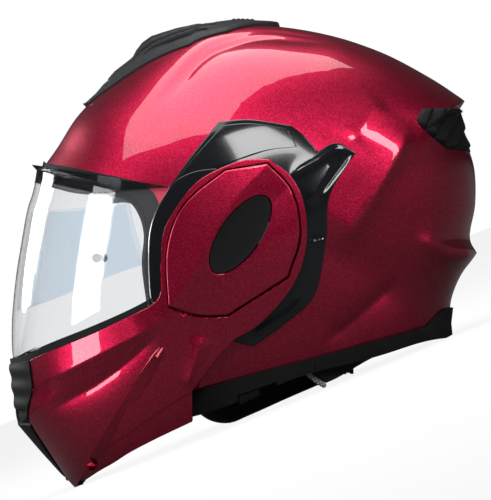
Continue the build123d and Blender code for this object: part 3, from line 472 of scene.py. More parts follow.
def sides(name, shape, body, node, slot):
    """The left piece and its mirror image on the right, each standing for its own node."""
    vertices, faces = shape
    for side, half in (("left", shape), ("right", (vertices * (1, -1, 1), faces[:, ::-1]))):
        thing = piece(f"{name}_{side}", half, body, [f"{node}_{side}"], slot)


def cushion(grid, normal, closed, away, thickness, soft):
    """A stuffed piece under a grid: full where it is further than soft from its borders, drawn in to half
    its depth at the borders, round between: sqrt(1 - (1 - away / soft) ** 2)."""
    full = np.sqrt(1 - (1 - rising(away, soft)) ** 2)[..., None]
    outer = grid - normal * thickness / 2 * (1 - full)
    inner = grid - normal * thickness / 2 * (1 + full)
    nowhere = np.zeros(grid.shape[1], bool)
    return slab(outer, inner, closed, nowhere, nowhere)


def star(form, runs, centre, wall, step, rows, lift=None, silhouette=(), hole=None, edge=0.0009,
         inner_step=6, soft=None):
    """A curved plate on a form's left side. Its rows run from the centre, or from a hole's edge, out to the
    boundary, close together near the silhouette and around rounded edges; its columns go round the boundary.
    runs are the boundary's curves, and silhouette holds the numbers of those on the form's silhouette, where
    the plate goes on into its mirror image. lift(x, z) is added along the normal, in metres. With soft set
    the piece is a cushion of that edge width instead, and wall its thickness."""
    parts = boundary(runs, step)
    middle = np.concatenate([np.full(len(part), number in silhouette) for number, part in enumerate(parts)])
    middle |= np.roll(middle, 1) & np.r_[True, np.diff(middle.astype(int)) == -1]
    rim = np.vstack(parts)
    if middle.any():
        rim[middle] = form.onto_silhouette(rim[middle])
    ray = rim - np.asarray(centre, float)
    inside = np.zeros(len(rim)) if hole is None else hole(ray)
    start = centre + ray * inside[:, None]
    rounding = edge / CROWN / np.linalg.norm(rim - start, axis=1)
    turn = np.linspace(0, math.pi / 2, EDGE_STEPS + 1)[1:, None]
    first = 0 if hole is None else rounding
    even_rows = np.linspace(0, 1, rows)[:, None]
    flat_rows = np.sin(even_rows * math.pi / 2) if hole is None else even_rows
    along = np.vstack([first + flat_rows * (1 - rounding - first), (1 - rounding) + rounding * np.sin(turn)])
    drop = np.vstack([np.zeros((rows, len(rim))), edge * (1 - np.cos(turn)) * ~middle])
    if hole is not None:
        along = np.vstack([first * (1 - np.sin(turn[::-1])), along])
        drop = np.vstack([np.broadcast_to(edge * (1 - np.cos(turn[::-1])), (EDGE_STEPS, len(rim))), drop])
    place = start + along[..., None] * (rim - start)
    x, z = place[..., 0], place[..., 1]
    depth = form.depth(x, z)
    depth[-1, middle] = 0
    grid = row_frame(x, -depth, z)
    normal = normals(grid, True)
    normal[-1, middle, 1] = 0
    raised = lift(x, z) if lift else np.zeros(x.shape)
    if soft:
        free = [points for number, points in enumerate(runs) if number not in silhouette]
        return cushion(grid + normal * raised[..., None], normal, True, nearest(x, z, free), wall, soft)
    outer = grid + normal * (raised - drop)[..., None]
    outer[-1, middle, 1] = 0
    shaped = normals(outer, True)
    shaped[-1, middle, 1] = 0
    shaped = np.where(drop[..., None] > 0, normal, shaped)
    return slab(outer, outer - wall * shaped, True, np.full(len(rim), hole is not None), ~middle, inner_step)


def ruled(first, last, columns, rows, towards_last=False, towards_end=False):
    """Side-view places between two curves: rows go from the first to the last, evenly or, where the last
    lies on a silhouette, closing up towards it; columns close up towards their end in the same way."""
    def shares(count, closing):
        share = np.linspace(0, 1, count)
        return np.sin(share * math.pi / 2) if closing else share

    along = shares(columns, towards_end)
    start, end = (spread(smooth_run(curve), along) for curve in (first, last))
    return start + shares(rows, towards_last)[:, None, None] * (end - start)


def on_form(form, place, lift=None, last_row=False, last_column=False):
    """The outer grid and normals of side-view places on a form; a flagged border lies on the silhouette."""
    if last_row:
        place[-1] = form.onto_silhouette(place[-1])
    if last_column:
        place[:, -1] = form.onto_silhouette(place[:, -1])
    x, z = place[..., 0], place[..., 1]
    middle = np.zeros(x.shape, bool)
    middle[-1] |= last_row
    middle[:, -1] |= last_column
    grid = row_frame(x, np.where(middle, 0, -form.depth(x, z)), z)
    normal = normals(grid, False)
    normal[middle, 1] = 0
    if lift:
        grid = grid + normal * lift(x, z)[..., None]
        normal = normals(grid, False)
        normal[middle, 1] = 0
    return grid, normal


def sheet(outer, inner, row_step=1):
    """A solid between two open grids, closed all round."""
    ends = np.ones(outer.shape[1], bool)
    return slab(outer, inner, False, ends, ends, row_step)


def rounded(corners, radius):
    """A path through corners whose bends are parabolas that start and end a radius away from the corner."""
    parts = [corners[:1]]
    t = np.linspace(0, 1, BEND_POINTS)[:, None]
    for before, at, after in zip(corners, corners[1:], corners[2:]):
        start, end = at + unit(before - at) * radius, at + unit(after - at) * radius
        parts.append((1 - t) ** 2 * start + 2 * t * (1 - t) * at + t * t * end)
    return even(np.vstack([*parts, corners[-1:]]), BAND_POINTS)


def capped(grid):
    """A tube from rings of places, closed at both ends by fans about each end's middle."""
    ends = [np.broadcast_to(grid[row].mean(axis=0), grid[row].shape)[None] for row in (0, -1)]
    grid = np.concatenate([ends[0], grid, ends[1]])
    index = np.arange(grid.shape[0] * grid.shape[1]).reshape(grid.shape[:2])
    return grid.reshape(-1, 3), quads(index, True)


def tube(path, radius):
    """A round cord along a path, drawn in at its ends like a capsule."""
    ahead = unit(np.gradient(path, axis=0))
    side = unit(np.cross(ahead, (0.0, 1.0, 0.0)))
    other = np.cross(ahead, side)
    length = lengths(path)
    near = rising(np.minimum(length, length[-1] - length), radius)
    girth = radius * np.sqrt(1 - (1 - near) ** 2)
    turn = np.linspace(0, 2 * math.pi, CORD_SIDES, endpoint=False)
    ring = np.cos(turn)[None, :, None] * side[:, None] + np.sin(turn)[None, :, None] * other[:, None]
    return capped(path[:, None] + girth[:, None, None] * ring)


# Finishes

def fill(tree, node, inputs):
    """Gives a node's inputs, by name or number, a value or a link from an output."""
    for name, value in inputs.items():
        if isinstance(value, bpy.types.NodeSocket):
            tree.links.new(value, node.inputs[name])
        else:
            node.inputs[name].default_value = value


def add(tree, kind, inputs, **fields):
    """The outputs of a new node with its own fields and inputs set."""
    node = tree.nodes.new(kind)
    for field, value in fields.items():
        setattr(node, field, value)
    fill(tree, node, inputs)
    return node.outputs


def new_finish(name, colour, roughness, inputs):
    """A new material with one main shader, its node tree and that shader."""
    material = bpy.data.materials.new(name)
    material.use_nodes = True
    tree = material.node_tree
    shader = tree.nodes["Principled BSDF"]
    fill(tree, shader, {"Base Color": (*colour, 1), "Roughness": roughness, **inputs})
    material.diffuse_color = (*colour, 1)
    return material, tree, shader


def object_place(tree):
    """The socket that holds a place on the piece in metres."""
    return add(tree, "ShaderNodeTexCoord", {})["Object"]


def grain(tree, scale, detail=2.0):
    """Fine noise of a given scale per metre."""
    inputs = {"Scale": scale, "Detail": detail, "Vector": object_place(tree)}
    return add(tree, "ShaderNodeTexNoise", inputs)["Fac"]


def cells(tree, scale):
    """Outputs of a cell pattern of a given scale per metre."""
    return add(tree, "ShaderNodeTexVoronoi", {"Scale": scale, "Vector": object_place(tree)})


def mixed(tree, share, first, second):
    """A shader that turns from a first into a second as a share goes from 0 to 1."""
    return add(tree, "ShaderNodeMixShader", {"Fac": share, 1: first, 2: second})["Shader"]


def times(colour, factor):
    """A colour made brighter or darker."""
    return tuple(factor * value for value in colour)


def shades(tree, shader, source, stops):
    """A base colour that follows a value through (position, colour) stops."""
    node = tree.nodes.new("ShaderNodeValToRGB")
    elements = node.color_ramp.elements
    while len(elements) < len(stops):
        elements.new(0.5)
    for element, (position, colour) in zip(elements, stops):
        element.position = position
        element.color = (*colour, 1)
    fill(tree, node, {"Fac": source})
    fill(tree, shader, {"Base Color": node.outputs["Color"]})


def bump(tree, shader, height, strength, distance):
    """Adds fine relief to a shader's normal."""
    relief = add(tree, "ShaderNodeBump", {"Strength": strength, "Distance": distance, "Height": height})
    fill(tree, shader, {"Normal": relief["Normal"]})


def candy_paint(name, colour):
    """Deep metallic colour with fine flake under a clear coat."""
    material, tree, shader = new_finish(name, colour, 0.38, {"Metallic": 1.0, "Coat Weight": 1.0,
                                                             "Coat Roughness": 0.015})
    flake = cells(tree, 1500)
    sparkle = (min(1, 1.4 * colour[0]), 2.5 * colour[1], 1.8 * colour[2])
    shades(tree, shader, flake["Color"], [(0.0, times(colour, 0.62)), (0.55, colour), (1.0, sparkle)])
    bump(tree, shader, flake["Distance"], strength=0.10, distance=0.0004)
    return material


def gloss_plastic(name, colour, roughness):
    """Smooth moulded plastic with a faint unevenness in its shine."""
    material, tree, shader = new_finish(name, colour, roughness, {"Coat Weight": 0.3})
    shine = add(tree, "ShaderNodeMapRange", {"Value": grain(tree, 60), "To Min": 0.8 * roughness,
                                             "To Max": 1.3 * roughness})
    fill(tree, shader, {"Roughness": shine["Result"]})
    return material


def matte_plastic(name, colour, roughness=0.55):
    """Fine-grained moulded plastic."""
    material, tree, shader = new_finish(name, colour, roughness, {"Specular IOR Level": 0.12})
    speckle = grain(tree, 2600, 3)
    shades(tree, shader, speckle, [(0.3, times(colour, 0.75)), (0.7, times(colour, 1.25))])
    bump(tree, shader, speckle, strength=0.12, distance=0.0002)
    return material


def slot_shaded_plastic(name, colour, roughness):
    """Fine-grained plastic with painted shade: near black where a piece's per-vertex value is 1, as the shade
    inside its slots.
    """
    material = matte_plastic(name, colour, roughness)
    tree = material.node_tree
    shader = tree.nodes["Principled BSDF"]
    mark = add(tree, "ShaderNodeAttribute", {}, attribute_name="mark")["Fac"]
    shade = shader.inputs["Base Color"].links[0].from_socket
    # Painted shade: the base colour turns near black where the per-vertex value is 1
    factor, first, second, result = 0, 6, 7, 2
    inputs = {factor: mark, first: shade, second: (0.001, 0.001, 0.001, 1)}
    fill(tree, shader, {"Base Color": add(tree, "ShaderNodeMix", inputs, data_type="RGBA")[result]})
    return material


def clear_plastic(name, tint, shine=0.5):
    """Clear hard-coated plastic that lets light through to what lies behind it."""
    material, tree, shader = new_finish(name, tint, 0.01, {"Specular IOR Level": shine, "IOR": 1.45,
                                                           "Transmission Weight": 1.0})
    through = add(tree, "ShaderNodeBsdfTransparent", {"Color": (*tint, 1)})["BSDF"]
    shadow = add(tree, "ShaderNodeLightPath", {})["Is Shadow Ray"]
    surface = mixed(tree, shadow, shader.outputs["BSDF"], through)
    fill(tree, tree.nodes["Material Output"], {"Surface": surface})
    return material


def steel(name, colour):
    """Plated steel with fine turning marks."""
    material, tree, shader = new_finish(name, colour, 0.3, {"Metallic": 1.0})
    bump(tree, shader, grain(tree, 900), strength=0.08, distance=0.0002)
    return material


def knit(name, colour):
    """Knitted lining cloth: crossed waves make rows of small stitches."""
    material, tree, shader = new_finish(name, colour, 0.85, {"Sheen Weight": 0.4, "Sheen Roughness": 0.4})
    inputs = {"Scale": 150.0, "Distortion": 1.0, "Vector": object_place(tree)}
    waves = [add(tree, "ShaderNodeTexWave", inputs, bands_direction=axis)["Fac"] for axis in ("X", "Z")]
    both = add(tree, "ShaderNodeMath", dict(enumerate(waves)), operation="MULTIPLY")[0]
    shades(tree, shader, both, [(0.0, times(colour, 0.5)), (0.8, times(colour, 1.5))])
    bump(tree, shader, both, strength=0.5, distance=0.0005)
    return material


def bead_foam(name, colour):
    """Moulded bead foam: cells with dark joints under a thin black coating."""
    material, tree, shader = new_finish(name, colour, 0.7, {})
    bead = cells(tree, 320)["Distance"]
    shades(tree, shader, bead, [(0.0, times(colour, 1.4)), (0.7, times(colour, 0.5))])
    bump(tree, shader, bead, strength=-0.4, distance=0.0008)
    return material


# The finish of each material slot: its name, how it is made, its colour or the setting that holds it, and
# what else the maker takes
FINISHES = {
    "red_paint": ("candy paint", candy_paint, "paint_colour"),
    "gloss_black": ("gloss black", gloss_plastic, "plate_colour", 0.12),
    "matte_black": ("matte black", matte_plastic, (0.008, 0.008, 0.009)),
    # The crown vent's plastic, with the shade in its slots painted near black
    "dark_grey": ("slotted plastic", slot_shaded_plastic, "vent_colour", 0.42),
    "clear_lens": ("clear lens", clear_plastic, (0.93, 0.94, 0.95), 0.2),
    "insert_lens": ("insert lens", clear_plastic, (0.86, 0.92, 0.97)),
    "smoke_lens": ("smoked lens", clear_plastic, (0.16, 0.165, 0.18)),
    "soft_trim": ("soft rubber", matte_plastic, (0.012, 0.012, 0.013), 0.62),
    "foam": ("bead foam", bead_foam, (0.045, 0.045, 0.048)),
    "steel": ("plated steel", steel, (0.55, 0.55, 0.57)),
    "pad_fabric": ("lining", knit, "lining_colour"),
    "piping": ("piping cord", knit, (0.5, 0.5, 0.5)),
    "webbing": ("webbing", knit, (0.015, 0.015, 0.016)),
}


def finish_of(slot):
    """The material of a slot, made once and used again."""
    name, maker, colour, *values = FINISHES[slot]
    if isinstance(colour, str):
        colour = tuple(getattr(settings(), colour))
    return bpy.data.materials.get(name) or maker(name, colour, *values)


class HelmetSettings(bpy.types.PropertyGroup):
    """Sizes and colours of the dressed helmet."""

    paint_colour: FloatVectorProperty(name="Paint colour", description="Colour of the shell's paint",
                                      default=(0.50, 0.010, 0.052), size=3, min=0, max=1, subtype="COLOR")
    plate_colour: FloatVectorProperty(name="Plate colour", description="Colour of the gloss side plates",
                                      default=(0.008, 0.009, 0.011), size=3, min=0, max=1, subtype="COLOR")
    vent_colour: FloatVectorProperty(name="Vent colour", description="Colour of the crown vent",
                                     default=(0.030, 0.031, 0.033), size=3, min=0, max=1, subtype="COLOR")
    lining_colour: FloatVectorProperty(name="Lining colour", description="Colour of the pads",
                                       default=(0.018, 0.018, 0.02), size=3, min=0, max=1, subtype="COLOR")
    shell_wall: FloatProperty(name="Shell wall", description="Thickness of the shell's wall",
                              default=0.0038, min=0.002, max=0.006, subtype="DISTANCE", unit="LENGTH")
    lens_wall: FloatProperty(name="Lens wall", description="Thickness of the visor's lens",
                             default=0.0022, min=0.001, max=0.004, subtype="DISTANCE", unit="LENGTH")
    edge_round: FloatProperty(name="Edge radius", description="Rounding along the shell's edges",
                              default=0.0009, min=0.0002, max=0.002, subtype="DISTANCE", unit="LENGTH")
    ridge_height: FloatProperty(name="Ridge height", description="Height of the shell's moulded ridges",
                                default=0.0031, min=0.0, max=0.005, subtype="DISTANCE", unit="LENGTH")


def settings():
    """The settings in use."""
    return bpy.context.scene.helmet_dressing


# Pieces

class HELMET_OT_fittings(bpy.types.Operator):
    """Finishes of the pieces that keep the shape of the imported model"""

    bl_idname = "helmet.fittings"
    bl_label = "Fittings"

    def execute(self, context):
        slots = {entry["node"]: entry["material_slot"] for entry in frame["record"]["subparts"]}
        for name, node in frame["nodes"].items():
            slot = "insert_lens" if slots[name] == "clear_lens" else slots[name]
            node.data.materials.clear()
            node.data.materials.append(finish_of(slot))
        return {"FINISHED"}


class HELMET_OT_shell(bpy.types.Operator):
    """Painted outer shell with its ridges, tail and spoiler lip"""

    bl_idname = "helmet.shell"
    bl_label = "Shell"

    def execute(self, context):
        height = settings().ridge_height

        def ridges(x, z):
            dome = step_line(x, z, DOME_LINE, 1.3 * height, 0.004, 0.016)
            rows = [(DOME_LINE, -0.8, 0.006, 0.0015), (SHORT_RIDGE, 0.6, 0.008, 0.016),
                    (LONG_RIDGE, 1.5, 0.008, 0.022), (LOWER_VALLEY, -1, 0.012, 0.006),
                    (TAIL_RIDGE, 1.2, 0.006, 0.012)]
            return crests(x, z, dome, rows, height)

        runs = [*SHELL_RUNS[:4], RIM, CHEEK, EYEPORT, BROW]
        shape = star(SHELL, runs, centre=(0, 0.3), wall=settings().shell_wall, step=0.021, rows=74,
                     lift=ridges, silhouette=(0, 1, 2, 3), edge=settings().edge_round, inner_step=9)
        piece("painted_shell", both_halves(shape), "helmet", ["main_shell"], "red_paint", 50)
        return {"FINISHED"}


class HELMET_OT_crown_vent(bpy.types.Operator):
    """Dark crown vent with raised fins between long slots"""

    bl_idname = "helmet.crown_vent"
    bl_label = "Crown vent"

    def execute(self, context):
        """The deck in the middle follows the vent's top line, and the flanks fall from it to a lip along the
        edge. Slots are sunk into the flanks, each with a fin beside it; the shade inside the slots is painted
        near black."""
        deck, least, fall, underside, rows, columns = 0.035, 0.0012, 0.85, 0.0005, 320, 201
        lip, lip_height, lip_share = 0.0013, 0.0010, 0.1
        slot_depth, floor, soft_edge = 0.0042, 0.0005, 0.0009
        fin_place, fin_height, fin_ends = 0.0011, 0.0012, 0.006
        crown, top, edge_line = smooth_run(SHELL_CROWN), np.array(VENT_TOP), np.array(VENT_WIDTH)
        x = np.linspace(edge_line[0, 0], edge_line[-1, 0], rows)[:, None]
        width = np.interp(x, *edge_line.T)
        flank = np.maximum(width - deck, 0.01)
        y = np.linspace(-1, 1, columns)[None, :] * width
        drawn_in = np.sqrt(1 - (CAP * np.abs(y) * CROWN / SHELL_REACH) ** FULLNESS)
        base = drawn_in * np.interp(x / drawn_in, *crown.T)
        height = np.maximum((np.interp(x, *top.T) - np.interp(x, *crown.T)) * CROWN, least)
        out = rising(np.abs(y) - deck, flank)
        raised = np.maximum(lip + (height - lip) * (1 - out) ** fall, lip)
        raised = raised + lip_height * rising(out, 1 - lip_share) * rising(1 - out, lip_share)
        # Painted shade: 1 where a slot is sunk, so that the slot floors are painted near black
        slot_shade = np.zeros(raised.shape)
        for low, high in VENT_SLOTS:
            low, high = np.array(low), np.array(high)
            beside = np.minimum(out - np.interp(x, *low.T), np.interp(x, *high.T) - out) * flank * CROWN
            within = np.minimum(x - low[0, 0], low[-1, 0] - x) * CROWN
            sunk = np.clip(np.minimum(beside, within) / soft_edge + 0.5, 0, 1)
            fin = np.exp(-np.abs(beside + fin_place) / soft_edge) * rising(within, fin_ends)
            raised = raised + fin_height * fin * rising(out, lip_share)
            raised = raised + (np.maximum(raised - slot_depth, floor) - raised) * smooth_step(sunk)
            slot_shade = np.maximum(slot_shade, sunk)
        grid = row_frame(x, y * CROWN, base)
        normal = normals(grid, False)
        shape = sheet(grid + normal * raised[..., None], grid - normal * underside, 4)
        # Painted shade for the material, one value per vertex: the sunk slot floors, none on the underside
        mark = np.r_[slot_shade.ravel(), np.zeros(len(shape[0]) - slot_shade.size)]
        piece("crown_vent_cover", shape, "helmet", ["crown_vent"], "dark_grey", 35, mark=mark)
        self.slider(top)
        return {"FINISHED"}

    def slider(self, top):
        """A low slide on the vent's deck, its ends a little narrower and its top in cross ribs."""
        front, rear, half_width, rows, columns = -0.0171, -0.0011, 0.006, 90, 40
        thickness, low, rib_height, rib_pitch = 0.0016, 0.0003, 0.0005, 0.0032
        x, ends = (np.linspace(*limits, rows)[:, None] for limits in ((front, rear), (-1, 1)))
        across = np.linspace(-1, 1, columns)[None, :]
        y = half_width * across * np.sqrt(np.clip(1 - np.abs(ends) ** 14, 0.6, 1))
        rib = 0.5 - 0.5 * np.cos(2 * math.pi * (x - rear) / rib_pitch)
        rise = (low + rib_height * rib) * rising(1 - np.abs(across), 0.08)
        x = x / CROWN
        deck = np.interp(x, *top.T)
        shape = sheet(*(row_frame(x, y, deck + lift / CROWN) for lift in (rise, -thickness)))
        piece("vent_slide", shape, "crown_slider", ["crown_vent_slider"], "dark_grey", 35, "matte_black")


class HELMET_OT_rear_exhaust(bpy.types.Operator):
    """Black exhaust vent under the spoiler lip, with slanted louvres"""

    bl_idname = "helmet.rear_exhaust"
    bl_label = "Rear exhaust vent"

    def execute(self, context):
        slant, pitch, low, height = 0.43, 0.0085, 0.0007, 0.0024

        def louvres(x, z):
            along = (x * math.cos(slant) - z * math.sin(slant)) * CROWN / pitch
            tooth = along - np.floor(along)
            near = rising(nearest(x, z, EXHAUST), 0.002) * rising(SHELL.depth(x, z), 0.02)
            return low + height * near * rising(tooth, 0.7) * rising(1 - tooth, 0.12)

        shape = star(SHELL, [*EXHAUST, EXHAUST_BACK], centre=(0.93, 0.5), wall=0.002, step=0.006, rows=46,
                     lift=louvres, silhouette=(4,), edge=0.0006)
        piece("rear_exhaust", both_halves(shape), "helmet", ["rear_exhaust_vent"], "matte_black", 30)
        return {"FINISHED"}


class HELMET_OT_eyeport(bpy.types.Operator):
    """Black frame and soft seal around the shell's opening, behind the visor"""

    bl_idname = "helmet.eyeport"
    bl_label = "Eyeport"

    def execute(self, context):
        def beads(x, z):
            away = nearest(x, z, [FRAME_INSIDE])
            rings = ((0.0012, 0.0022, 0.0010), (0.0008, 0.0052, 0.0008))
            return 0.0006 + sum(high * np.exp(-((away - place) / wide) ** 2) for high, place, wide in rings)

        place = ruled(FRAME_INSIDE, FRAME_OUTSIDE, columns=240, rows=44, towards_end=True)
        grid, normal = on_form(SHELL, place, beads, last_column=True)
        shape = sheet(grid, grid - 0.0022 * normal, 4)
        piece("eyeport_frame", both_halves(shape), "helmet", ["eyeport_seal"], "soft_trim", 45)
        return {"FINISHED"}


class HELMET_OT_side_plates(bpy.types.Operator):
    """Black plates around the pivots and the gloss panel let into each"""

    bl_idname = "helmet.side_plates"
    bl_label = "Side plates"

    def execute(self, context):
        def notch(x, z):
            rows = [(NOTCH_RIB, 0.0012, 0.0022, 0.0022), (NOTCH_EDGE, 0.0010, 0.0018, 0.006),
                    (NOTCH_LOW, -0.0012, 0.0015, 0.0015), (PLATE_JOINT, -0.0012, 0.0008, 0.0008),
                    (PLATE_SHINE, 0.0012, 0.005, 0.002)]
            return crests(x, z, 0.0026, rows)

        plate = star(SHELL, PLATE, centre=(-0.03, 0.0), wall=0.0024, step=0.009, rows=90, lift=notch,
                     edge=0.0012)
        sides("plate", plate, "helmet", "side_plate", "gloss_black")
        panel = star(SHELL, PANEL, centre=(-0.06, 0.42), wall=0.002, step=0.01, rows=22,
                     lift=constant(0.0031), edge=0.0012)
        sides("panel", panel, "helmet", "side_panel", "gloss_black")
        return {"FINISHED"}


class HELMET_OT_visor(bpy.types.Operator):
    """Clear lens with its black arms"""

    bl_idname = "helmet.visor"
    bl_label = "Visor"

    def execute(self, context):
        lens = star(VISOR, [VISOR_FRONT, LENS_LOW, LENS_REAR, LENS_TOP], centre=(-0.85, -0.15),
                    wall=settings().lens_wall, step=0.012, rows=44, silhouette=(0,), edge=0.0008,
                    inner_step=1)
        piece("lens", both_halves(lens), "visor", ["visor"], "clear_lens")
        arm = star(VISOR, [ARM_TOP, ARM_REST, LENS_REAR], centre=(-0.25, 0.0), wall=0.0016, step=0.012,
                   rows=24, edge=0.0007)
        sides("visor_arm_cover", arm, "visor", "visor_arm", "gloss_black")
        return {"FINISHED"}


class HELMET_OT_chin_bar(bpy.types.Operator):
    """Painted chin bar with the lower strip along its parting line"""

    bl_idname = "helmet.chin_bar"
    bl_label = "Chin bar"

    def execute(self, context):
        cover = Outline(COVER, OVAL_PLACE)
        seat_depth, gap, slope = 0.0030, 0.0014, 0.0008

        def creases(x, z):
            rows = [(CHIN_CREST, 0.0030, 0.010, 0.012), (CHIN_VALLEY, -0.0034, 0.010, 0.014),
                    (CHIN_SLIVER, 0.0018, 0.006, 0.006)]
            inside = nearest(x, z, COVER) * np.sign(1 - cover.share(x, z))
            return crests(x, z, 0, rows) - seat_depth * smooth_step(rising(inside + gap, slope))

        runs = [CHIN_TOP, VENT_EDGE, CHIN_TIP, PARTING, ARM_REAR, POD_REAR, POD_FRONT, CHIN_SHOULDER]
        bar = star(CHIN, runs, centre=(-0.42, -0.52), wall=0.0038, step=0.013, rows=90, lift=creases,
                   silhouette=(2,), edge=0.0008, inner_step=9)
        grid, normal = on_form(CHIN, ruled(PARTING, CHIN_LOW, columns=120, rows=16), constant(-0.0014))
        strip = sheet(grid, grid - 0.003 * normal)
        for name, half in (("chin_bar", bar), ("chin_strip", strip)):
            piece(name, both_halves(half), "chin_bar", ["chin_bar_shell"], "red_paint", 50)
        return {"FINISHED"}


class HELMET_OT_chin_vent(bpy.types.Operator):
    """Black vent housing along the front of the chin bar, with ribs and three mouths"""

    bl_idname = "helmet.chin_vent"
    bl_label = "Chin vent"

    def execute(self, context):
        base, rib_height, rib_top, rib_pitch, rib_low, rib_side = 0.0008, 0.0005, -0.695, 0.0875, -0.93, 0.075
        mouth_top, mouth_low, mouth_half, mouth_depth, mouth_slope = -0.895, -0.965, 0.0125, 0.0013, 0.0012
        mouth_middles, foot_low = (0.0, 0.03), -1.24

        def ribs(x, z):
            depth = CHIN.depth(x, z)
            wave = np.cos(2 * math.pi * (z - rib_top) / rib_pitch)
            raised = base + rib_height * wave * rising(z - rib_low, 0.05) * rising(rib_side - depth, 0.05)
            upright = np.minimum((mouth_top - z) * CROWN, (z - mouth_low) * CROWN)
            for middle in mouth_middles:
                across = mouth_half - np.abs(depth - middle)
                sunk = np.clip(np.minimum(upright, across) / mouth_slope + 0.5, 0, 1)
                raised = raised - mouth_depth * smooth_step(sunk)
            return raised * rising(z - foot_low, 0.12)

        place = ruled(VENT_EDGE, VENT_FRONT, columns=150, rows=120, towards_last=True)
        grid, normal = on_form(CHIN, place, ribs, last_row=True)
        front = np.zeros(grid.shape[1], bool)
        shape = slab(grid, grid - 0.0009 * normal, False, ~front, front, 6)
        piece("chin_vent", both_halves(shape), "chin_bar", ["chin_vent_housing"], "matte_black", 35)
        return {"FINISHED"}


class HELMET_OT_pods(bpy.types.Operator):
    """Pod covers over the pivots, each with a black oval dish"""

    bl_idname = "helmet.pods"
    bl_label = "Pods"

    def execute(self, context):
        cos, sin = math.cos(OVAL_ANGLE), math.sin(OVAL_ANGLE)

        def oval(ray):
            """The share of each ray from the oval's centre that lies inside the oval."""
            angle = np.arctan2(ray[:, 1], ray[:, 0]) - OVAL_ANGLE
            radius = 1 / np.hypot(np.cos(angle) / OVAL_SIZE[0], np.sin(angle) / OVAL_SIZE[1])
            return radius / CROWN / np.linalg.norm(ray, axis=1)

        def facets(x, z):
            top, slope_right, slope_left, reach = 0.0040, 0.05, 0.09, 0.02
            away = distance_to(x, z, COVER_FOLD)[0]
            return top - np.where(away > 0, slope_right, slope_left) * np.minimum(np.abs(away), reach)

        def dish(x, z):
            middle, hollow = 0.0026, 0.0009
            x, z = x - OVAL_PLACE[0], z - OVAL_PLACE[1]
            long = (x * cos + z * sin) * CROWN / OVAL_SIZE[0]
            short = (z * cos - x * sin) * CROWN / OVAL_SIZE[1]
            return middle + hollow * np.clip(np.hypot(long, short), 0, 1) ** 3

        cover = star(CHIN, COVER, centre=OVAL_PLACE, wall=0.003, step=0.01, rows=26, lift=facets, hole=oval,
                     edge=0.0010)
        sides("pod", cover, "chin_bar", "pod_cover", "red_paint")
        gap, half = 0.0003, 48
        turn = np.linspace(0, 2 * math.pi, 2 * half + 1)
        rim = np.stack([np.cos(turn), np.sin(turn)], axis=1) * (np.array(OVAL_SIZE) - gap) / CROWN
        rim = rim @ np.array([[cos, sin], [-sin, cos]]) + np.array(OVAL_PLACE)
        insert = star(CHIN, [rim[:half + 1], rim[half:]], centre=OVAL_PLACE, wall=0.0005, step=0.008, rows=30,
                      lift=dish, edge=0.0004)
        sides("pod_dish", insert, "chin_bar", "pod_insert", "matte_black")
        return {"FINISHED"}


class HELMET_OT_pads(bpy.types.Operator):
    """Cheek pads, crown pad, neck roll and its piping"""

    bl_idname = "helmet.pads"
    bl_label = "Pads"

    def execute(self, context):
        rib_height, rib_slant, rib_pitch, rib_ends = 0.0008, 0.35, 0.0055, 0.008
        seam_pitch, seam_depth, seam_width, sunk = 0.2, 0.0010, 0.0016, 0.0004

        def ribs(x, z):
            wave = np.cos(2 * math.pi * (z + rib_slant * x) * CROWN / rib_pitch)
            return rib_height * wave * rising(nearest(x, z, CHEEK_PAD), rib_ends)

        def quilt(x, z):
            seams = [np.abs(way / seam_pitch % 1 - 0.5) * seam_pitch for way in (x + z, x - z)]
            return -seam_depth * np.exp(-(np.minimum(*seams) * CROWN / seam_width) ** 2) - sunk

        cheek = star(Flat(0.0746), CHEEK_PAD, centre=(-0.08, -0.6), wall=0.0246, step=0.012, rows=70,
                     lift=ribs, soft=0.012)
        sides("cheek_cushion", cheek, "helmet", "cheek_pad", "pad_fabric")
        dome = star(PAD, [CROWN_PAD_LOW, CROWN_PAD_TOP], centre=(0.03, 0.3), wall=0.0064, step=0.018, rows=64,
                    lift=quilt, silhouette=(1,), soft=0.008)
        place = ruled(ROLL_LOW, ROLL_TOP, columns=150, rows=26, towards_end=True)
        grid, normal = on_form(ROLL, place, last_column=True)
        away = nearest(place[..., 0], place[..., 1], [ROLL_LOW, ROLL_TOP, [ROLL_LOW[0], ROLL_TOP[0]]])
        roll = cushion(grid, normal, False, away, thickness=0.0136, soft=0.0065)
        for name, half, node in (("crown_cushion", dome, "crown_pad"), ("neck_cushion", roll, "neck_roll")):
            thing = piece(name, both_halves(half), "helmet", [node], "pad_fabric")
        x, z = even(smooth_run(PIPING), 40).T
        inside = 0.0022
        cord = tube(row_frame(x, inside - ROLL.depth(x, z), z), radius=0.0019)
        piece("piping_cord", both_halves(cord), "helmet", ["neck_piping"], "piping")
        return {"FINISHED"}


